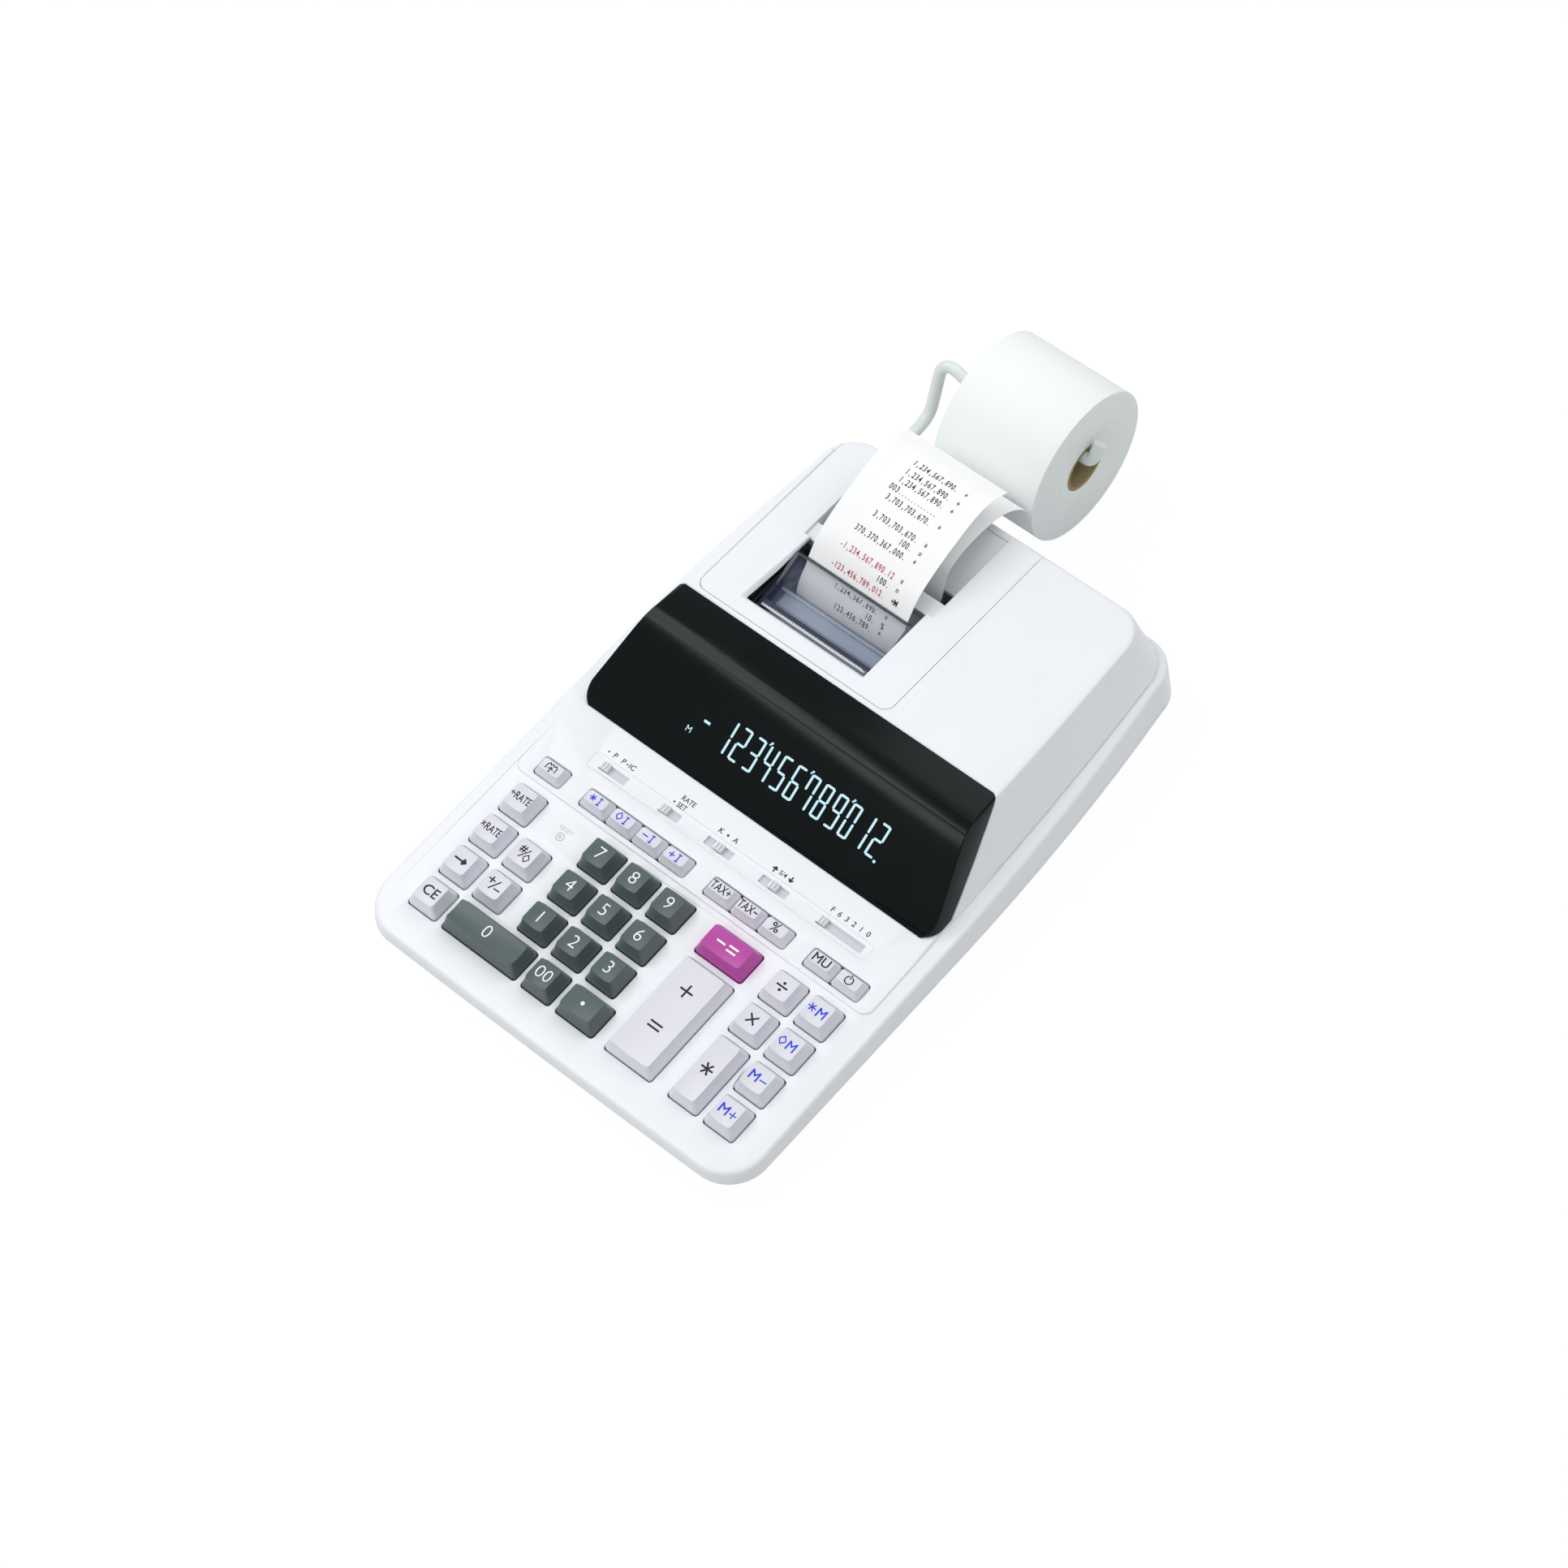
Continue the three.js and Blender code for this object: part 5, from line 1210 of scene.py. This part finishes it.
class CALCULATOR_OT_printer(bpy.types.Operator):
    """Finishes the printer cover, chassis, rollers and cutter"""

    bl_idname = "calculator.printer"
    bl_label = "Printer"

    def execute(self, context):
        refined("printer_cover", finish_for("case_white"), "case_white", 0.3, smooth=32)
        refined("printer_chassis", finish_for("mechanism"), "steel", 0.25)
        refined("paper_cutter", finish_for("cutter_smoke"), "cutter_smoke", 0.3, smooth=30)
        self.roller("platen_roller", 8.0, 3.0, "platen_rubber", "black_plastic")
        self.roller("ink_roller", 6.5, 2.2, "ink_felt", "ink_felt")
        self.guard_plate()
        self.cutter_borders()
        self.cutter_teeth()
        return {"FINISHED"}

    def roller(self, node, radius, shaft, finish, slot):
        low, high = deck_box(node)
        middle = (low + high) / 2
        sleeve = lying(radius, low.x + ROLLER_INSET, high.x - ROLLER_INSET,
                       middle.y, middle.z, 72)
        spindle = lying(shaft, low.x, high.x, middle.y, middle.z, 40)
        piece = join([sleeve, spindle], node + "_sleeve")
        soften(piece, 0.3, 2)
        finish_piece(piece, finish_for(finish), slot, replaced=(node,))

    def guard_plate(self):
        """The moulded guard over the ink roller that shows through the cutter."""
        left = TAPE_CENTRE - TAPE_WIDTH_INSIDE / 2
        right = TAPE_CENTRE + TAPE_WIDTH_INSIDE / 2
        front, rear, top = GUARD_FRONT, GUARD_REAR, GUARD_TOP
        plate = join([
            block(left, right, front, rear, top - 1, top),
            block(left, right, rear - GUARD_RIDGE, rear, top - 1, top + 1.0),
            block(left, right, rear - 8.6, rear - 7.8, top - 1, top + 0.5),
        ], "guard_plate")
        soften(plate, 0.2, 2)
        finish_piece(plate, finish_for("guard"), "black_plastic", body="case")
        sides = join([
            block(left, left + GUARD_RAIL, front, rear + 4, top - 1, top + 0.8),
            block(right - GUARD_RAIL, right, front, rear + 4, top - 1, top + 0.8),
        ], "guard_sides")
        soften(sides, 0.2, 2)
        finish_piece(sides, finish_for("cutter_edge"), "black_plastic", body="case")

    def cutter_strip(self, x0, x1, y0, y1):
        """A thin strip that lies on the cutter's skin from y0 to y1."""
        def height(y):
            for (ya, za), (yb, zb) in zip(CUTTER_SKIN, CUTTER_SKIN[1:]):
                if y <= yb:
                    break
            return za + (zb - za) * (y - ya) / (yb - ya)
        stops = [y0] + [y for y, _ in CUTTER_SKIN if y0 < y < y1] + [y1]
        parts = []
        for here, there in zip(stops, stops[1:]):
            run = there - here
            rise = height(there) - height(here)
            piece = block(x0, x1, 0, math.hypot(run, rise), -0.25, 0.05)
            piece.matrix_world = (Matrix.Translation((0, here, height(here)))
                                  @ Matrix.Rotation(math.atan2(rise, run), 4, "X"))
            parts.append(apply_place(piece))
        return parts

    def cutter_borders(self):
        """The darker rim round the clear plate."""
        half = TAPE_WIDTH_INSIDE / 2
        left, right = TAPE_CENTRE - half, TAPE_CENTRE + half
        front, rear = CUTTER_SKIN[0][0], CUTTER_SKIN[-1][0]
        parts = []
        for strip in ((left, left + BORDER, front, rear), (right - BORDER, right, front, rear),
                      (left + BORDER, right - BORDER, front + BAND[0], front + BAND[1]),
                      (left + BORDER, right - BORDER, rear - 0.6, rear)):
            parts += self.cutter_strip(*strip)
        piece = join(parts, "cutter_border")
        finish_piece(piece, finish_for("cutter_edge"), "cutter_smoke", body="cutter")
        scale = front + 1.8
        ribs = self.cutter_strip(left + BORDER, right - 5, scale, scale + 0.6)
        for step in range(int((right - left - 8) / SCALE_PITCH)):
            x = left + 2 + step * SCALE_PITCH
            ribs += self.cutter_strip(x, x + 0.7, scale + 0.6, scale + 1.2)
        piece = join(ribs, "cutter_scale")
        finish_piece(piece, finish_for("switch_white"), "cutter_smoke", body="cutter")

    def cutter_teeth(self):
        """The serrated tearing edge along the cutter's lip."""
        count = int(TAPE_WIDTH_INSIDE / TEETH_PITCH)
        teeth = []
        for step in range(count):
            deselect()
            bpy.ops.mesh.primitive_cone_add(
                vertices=4, radius1=0.8, radius2=0, depth=1.5,
                location=((step - (count - 1) / 2) * TEETH_PITCH, 0, 0.45))
            teeth.append(apply_place(bpy.context.object))
        piece = join(teeth, "cutter_teeth")
        (knee_y, knee_z), (edge_y, edge_z) = CUTTER_SKIN[-2:]
        slope = math.atan2(edge_z - knee_z, edge_y - knee_y)
        piece.matrix_world = (
            Matrix.Translation((TAPE_CENTRE, edge_y, edge_z - 0.2))
            @ Matrix.Rotation(slope - math.pi / 2, 4, "X") @ Matrix.Diagonal((1, 0.5, 1, 1)))
        apply_place(piece)
        finish_piece(piece, finish_for("mechanism"), "cutter_smoke", body="cutter")


# ------------------------------------------------------------------------ paper

PAPER_WIDTH = 57.5
PAPER_CENTRE = TAPE_CENTRE + 1.2
PAPER_THICKNESS = 0.16
ROLL_RADIUS = 39.0
ROLL_Y = 372.5
ROLL_Z = 2.5
PLATEN_Y = 245.5
PLATEN_Z = 9.0
PLATEN_WRAP = 8.4
# the tape's side view in the deck frame, from the roll to the platen and out again
TAPE_IN = ((332.4, 7.5), (331.3, 15.5), (323.5, 26.5), (311.5, 34.0), (294.0, 37.0),
           (280.0, 34.5), (274.5, 27.5), (270.0, 17.0), (262.0, 6.0))
TAPE_UP = ((238.6, 15.0), (241.5, 20.0), (246.2, 25.0), (248.8, 29.0))
TAPE_OUT = ((257.0, 37.5), (269.0, 43.5), (284.5, 48.5), (300.0, 51.5), (310.0, 50.0),
            (319.8, 45.0))
CHARACTER_PITCH = 1.81
CHARACTER_SIZE = 4.3
CHARACTER_SQUEEZE = 0.68
FIGURES_RIGHT = 12.6
SYMBOL_LEFT = 18.0
INK_LIFT = 0.06
ARM_RADIUS = 3.0
ARM_X = -80.0
ARM_WALL_Z = -14.0
ARM_BENDS = (8.0, 10.5, 8.0, 3.5)
CASE_REAR = 320.0
CORE_CLEARANCE = 0.3
CORE_RADIUS = 12.7
CORE_WALL = 1.8
# printed lines: words, symbol, ink, and how far along the tape past the cutter
TAPE_LINES = (
    ("1,234,567,890.", "+", "k", 61.9), ("1,234,567,890.", "+", "k", 56.3),
    ("1,234,567,890.", "+", "k", 51.7), ("003............", "", "k", 46.9),
    ("3,703,703,670.", "*", "k", 42.0), ("3,703,703,670.", "×", "k", 32.6),
    ("100.", "=", "k", 28.1), ("370,370,367,000.", "*", "k", 23.2),
    ("-1,234,567,890.12", "×", "r", 13.6), ("100.", "=", "k", 9.0),
    ("-123,456,789,012.", "+M", "r", 3.7), ("1,234,567,890.", "×", "k", -5.2),
    ("10.", "%", "k", -9.6), ("123,456,789.", "*", "k", -14.0),
)


def platen_turn():
    turns = 12
    points = []
    for step in range(turns + 1):
        angle = -0.25 * math.pi - 0.78 * math.pi * step / turns
        points.append((PLATEN_Y + PLATEN_WRAP * math.cos(angle),
                       PLATEN_Z + PLATEN_WRAP * math.sin(angle)))
    return tuple(points)


def smooth_route(points, steps=6):
    """A rounded line through points in side view (Catmull-Rom)."""
    route = []
    for i in range(len(points) - 1):
        before = Vector(points[max(0, i - 1)])
        start = Vector(points[i])
        end = Vector(points[i + 1])
        after = Vector(points[min(len(points) - 1, i + 2)])
        for step in range(steps):
            t = step / steps
            route.append(0.5 * (2 * start + (end - before) * t
                                + (2 * before - 5 * start + 4 * end - after) * t * t
                                + (3 * start - before - 3 * end + after) * t ** 3))
    route.append(Vector(points[-1]))
    return route


class CALCULATOR_OT_paper(bpy.types.Operator):
    """Models the printed tape, the roll, its core and the arm"""

    bl_idname = "calculator.paper"
    bl_label = "Paper"

    def execute(self, context):
        route = smooth_route(TAPE_IN + platen_turn() + TAPE_UP + TAPE_OUT, 5)
        self.make_tape(route)
        self.make_print(route)
        self.make_roll()
        self.make_arm()
        return {"FINISHED"}

    def make_tape(self, route):
        left = PAPER_CENTRE - PAPER_WIDTH / 2
        bpy.ops.mesh.primitive_plane_add(size=1, location=(PAPER_CENTRE, 0, 0))
        tape = apply_place(bpy.context.object)
        with editing():
            select_where(tape, lambda mesh, vertex: vertex.co.y > 0, "VERT")
            bpy.ops.mesh.delete(type="VERT")
        tape.data.vertices[0].co = (left, *route[0])
        tape.data.vertices[1].co = (left + PAPER_WIDTH, *route[0])
        with editing():
            bpy.ops.mesh.select_mode(type="EDGE")
            bpy.ops.mesh.select_all(action="SELECT")
            for here, there in zip(route, route[1:]):
                step = there - here
                bpy.ops.mesh.extrude_region_move(
                    TRANSFORM_OT_translate={"value": (0, step.x, step.y)})
        modify(tape, "SOLIDIFY", thickness=PAPER_THICKNESS, offset=0)
        outward(tape)
        pick(tape)
        bpy.ops.object.shade_smooth_by_angle(angle=math.radians(40))
        named("printed_tape")
        finish_piece(tape, finish_for("paper"), "paper", replaced=("paper_tape",))

    def make_print(self, route):
        glyphs = {}
        inks = {"k": [], "r": []}
        for words, symbol, ink, along in TAPE_LINES:
            row = [(character, FIGURES_RIGHT - CHARACTER_PITCH * place, ink)
                   for place, character in enumerate(reversed(words))]
            row += [(character, SYMBOL_LEFT + CHARACTER_PITCH * place, "k")
                    for place, character in enumerate(symbol)]
            settle = self.tape_place(route, along)
            for character, x, tone in row:
                if character not in glyphs:
                    glyphs[character] = lettering(
                        character, 0, 0, CHARACTER_SIZE, 0.04, squeeze=CHARACTER_SQUEEZE,
                        bold=0.05)
                piece = copy_of(glyphs[character], "figure")
                piece.matrix_world = settle @ Matrix.Translation((x, 0, 0))
                inks[tone].append(piece)
        bpy.context.view_layer.update()
        for ink, finish, name in (("k", "tape_black", "tape_figures"),
                                  ("r", "tape_red", "tape_red_figures")):
            piece = join(inks[ink], name)
            apply_place(piece)
            finish_piece(piece, finish_for(finish), "paper", body=NODE_BODY["paper_tape"])
        for glyph in glyphs.values():
            bpy.data.objects.remove(glyph)

    def tape_place(self, route, along):
        """The tape's upper face, `along` mm past the cutter's edge, as a matrix."""
        edge = min(range(len(route)), key=lambda i: (route[i] - Vector(TAPE_UP[-1])).length)
        way = route[edge:] if along >= 0 else route[edge::-1]
        left = abs(along)
        for here, there in zip(way, way[1:]):
            step = there - here
            if left <= step.length:
                point = here + step * (left / step.length)
                direction = step if along >= 0 else -step
                turn = math.atan2(direction.y, direction.x)
                return (Matrix.Translation((PAPER_CENTRE, *point))
                        @ Matrix.Rotation(turn, 4, "X")
                        @ Matrix.Translation((0, 0, PAPER_THICKNESS / 2 + INK_LIFT)))
            left -= step.length
        raise RuntimeError("the printed line lies past the end of the tape")

    def make_roll(self):
        left = PAPER_CENTRE - PAPER_WIDTH / 2
        right = PAPER_CENTRE + PAPER_WIDTH / 2
        core_low, core_high = deck_box("roll_core")
        core_radius = (core_high.z - core_low.z) / 2
        self.tube("roll_turns", ROLL_RADIUS, core_radius + 0.05, left, right, 160, 0.35,
                  "roll", "paper", "paper_roll")
        self.tube("core_tube", core_radius, core_radius - CORE_WALL, left + 0.05, right - 0.05, 96,
                  0.2, "core", "core_card", "roll_core")

    def tube(self, name, outer, inner, left, right, sides, edge, finish, slot, node):
        outside = lying(outer, left, right, ROLL_Y, ROLL_Z, sides)
        bore = lying(inner, left - 5, right + 5, ROLL_Y, ROLL_Z, sides)
        cut(outside, bore)
        pick(outside)
        piece = named(name)
        soften(piece, edge, 2)
        finish_piece(piece, finish_for(finish), slot, replaced=(node,))

    def make_arm(self):
        corners = arm_corners()
        deselect()
        bpy.ops.curve.primitive_bezier_curve_add()
        curve = bpy.context.object
        data = curve.data
        data.splines.clear()
        spline = data.splines.new("POLY")
        path = rounded_path(corners, ARM_BENDS)
        spline.points.add(len(path) - 1)
        for point, place in zip(spline.points, path):
            point.co = (*place, 1)
        data.dimensions = "3D"
        data.bevel_depth = ARM_RADIUS
        data.bevel_resolution = 6
        data.use_fill_caps = True
        bpy.ops.object.convert(target="MESH")
        arm = named("arm_rod")
        outward(arm)
        soften(arm, 0.5, 2, 50, 45)
        finish_piece(arm, finish_for("arm_pale"), "arm_pale", replaced=("roll_arm",))


def arm_corners():
    top = ROLL_Z + CORE_RADIUS - CORE_WALL - ARM_RADIUS - CORE_CLEARANCE
    tip = PAPER_CENTRE + PAPER_WIDTH / 2 + 4
    return [Vector(point) for point in (
        (ARM_X, CASE_REAR - 9, ARM_WALL_Z), (ARM_X, ROLL_Y - 12.5, ARM_WALL_Z),
        (ARM_X, ROLL_Y + 1, top + 7), (-62.0, ROLL_Y, top), (tip, ROLL_Y, top),
        (tip + 0.5, ROLL_Y + 6, top + 8))]


def rounded_path(corners, bends):
    """A line through corners, each turned on a smooth bend of the given reach."""
    path = [corners[0]]
    for i in range(1, len(corners) - 1):
        here = corners[i]
        start = here + (corners[i - 1] - here).normalized() * bends[i - 1]
        end = here + (corners[i + 1] - here).normalized() * bends[i - 1]
        steps = 12
        for step in range(steps + 1):
            t = step / steps
            path.append(start * (1 - t) ** 2 + here * 2 * t * (1 - t) + end * t * t)
    path.append(corners[-1])
    return path


# ------------------------------------------------------------------------ panel

OPERATORS = (
    CALCULATOR_OT_stage, CALCULATOR_OT_case, CALCULATOR_OT_window, CALCULATOR_OT_display,
    CALCULATOR_OT_keys, CALCULATOR_OT_legends, CALCULATOR_OT_switches,
    CALCULATOR_OT_printer, CALCULATOR_OT_paper,
)


class CALCULATOR_PT_sidebar(bpy.types.Panel):
    """Lists the calculator's groups of pieces"""

    bl_label = "Desk calculator"
    bl_idname = "CALCULATOR_PT_sidebar"
    bl_space_type = "VIEW_3D"
    bl_region_type = "UI"
    bl_category = "Calculator"

    def draw(self, context):
        layout = self.layout
        for group in (context.scene.calculator_look, context.scene.calculator_sizes):
            box = layout.box()
            for name in group.__annotations__:
                box.prop(group, name)
        for operator in OPERATORS:
            layout.operator(operator.bl_idname)


CLASSES = (CalculatorLook, CalculatorSizes, *OPERATORS, CALCULATOR_PT_sidebar)


def register():
    for cls in CLASSES:
        bpy.utils.register_class(cls)
    bpy.types.Scene.calculator_look = bpy.props.PointerProperty(type=CalculatorLook)
    bpy.types.Scene.calculator_sizes = bpy.props.PointerProperty(type=CalculatorSizes)


def unregister():
    del bpy.types.Scene.calculator_look
    del bpy.types.Scene.calculator_sizes
    for cls in reversed(CLASSES):
        bpy.utils.unregister_class(cls)


def main():
    register()
    bpy.ops.calculator.stage()
    bpy.ops.calculator.case()
    bpy.ops.calculator.window()
    bpy.ops.calculator.display()
    bpy.ops.calculator.keys()
    bpy.ops.calculator.legends()
    bpy.ops.calculator.switches()
    bpy.ops.calculator.printer()
    bpy.ops.calculator.paper()


if __name__ == "__main__":
    main()
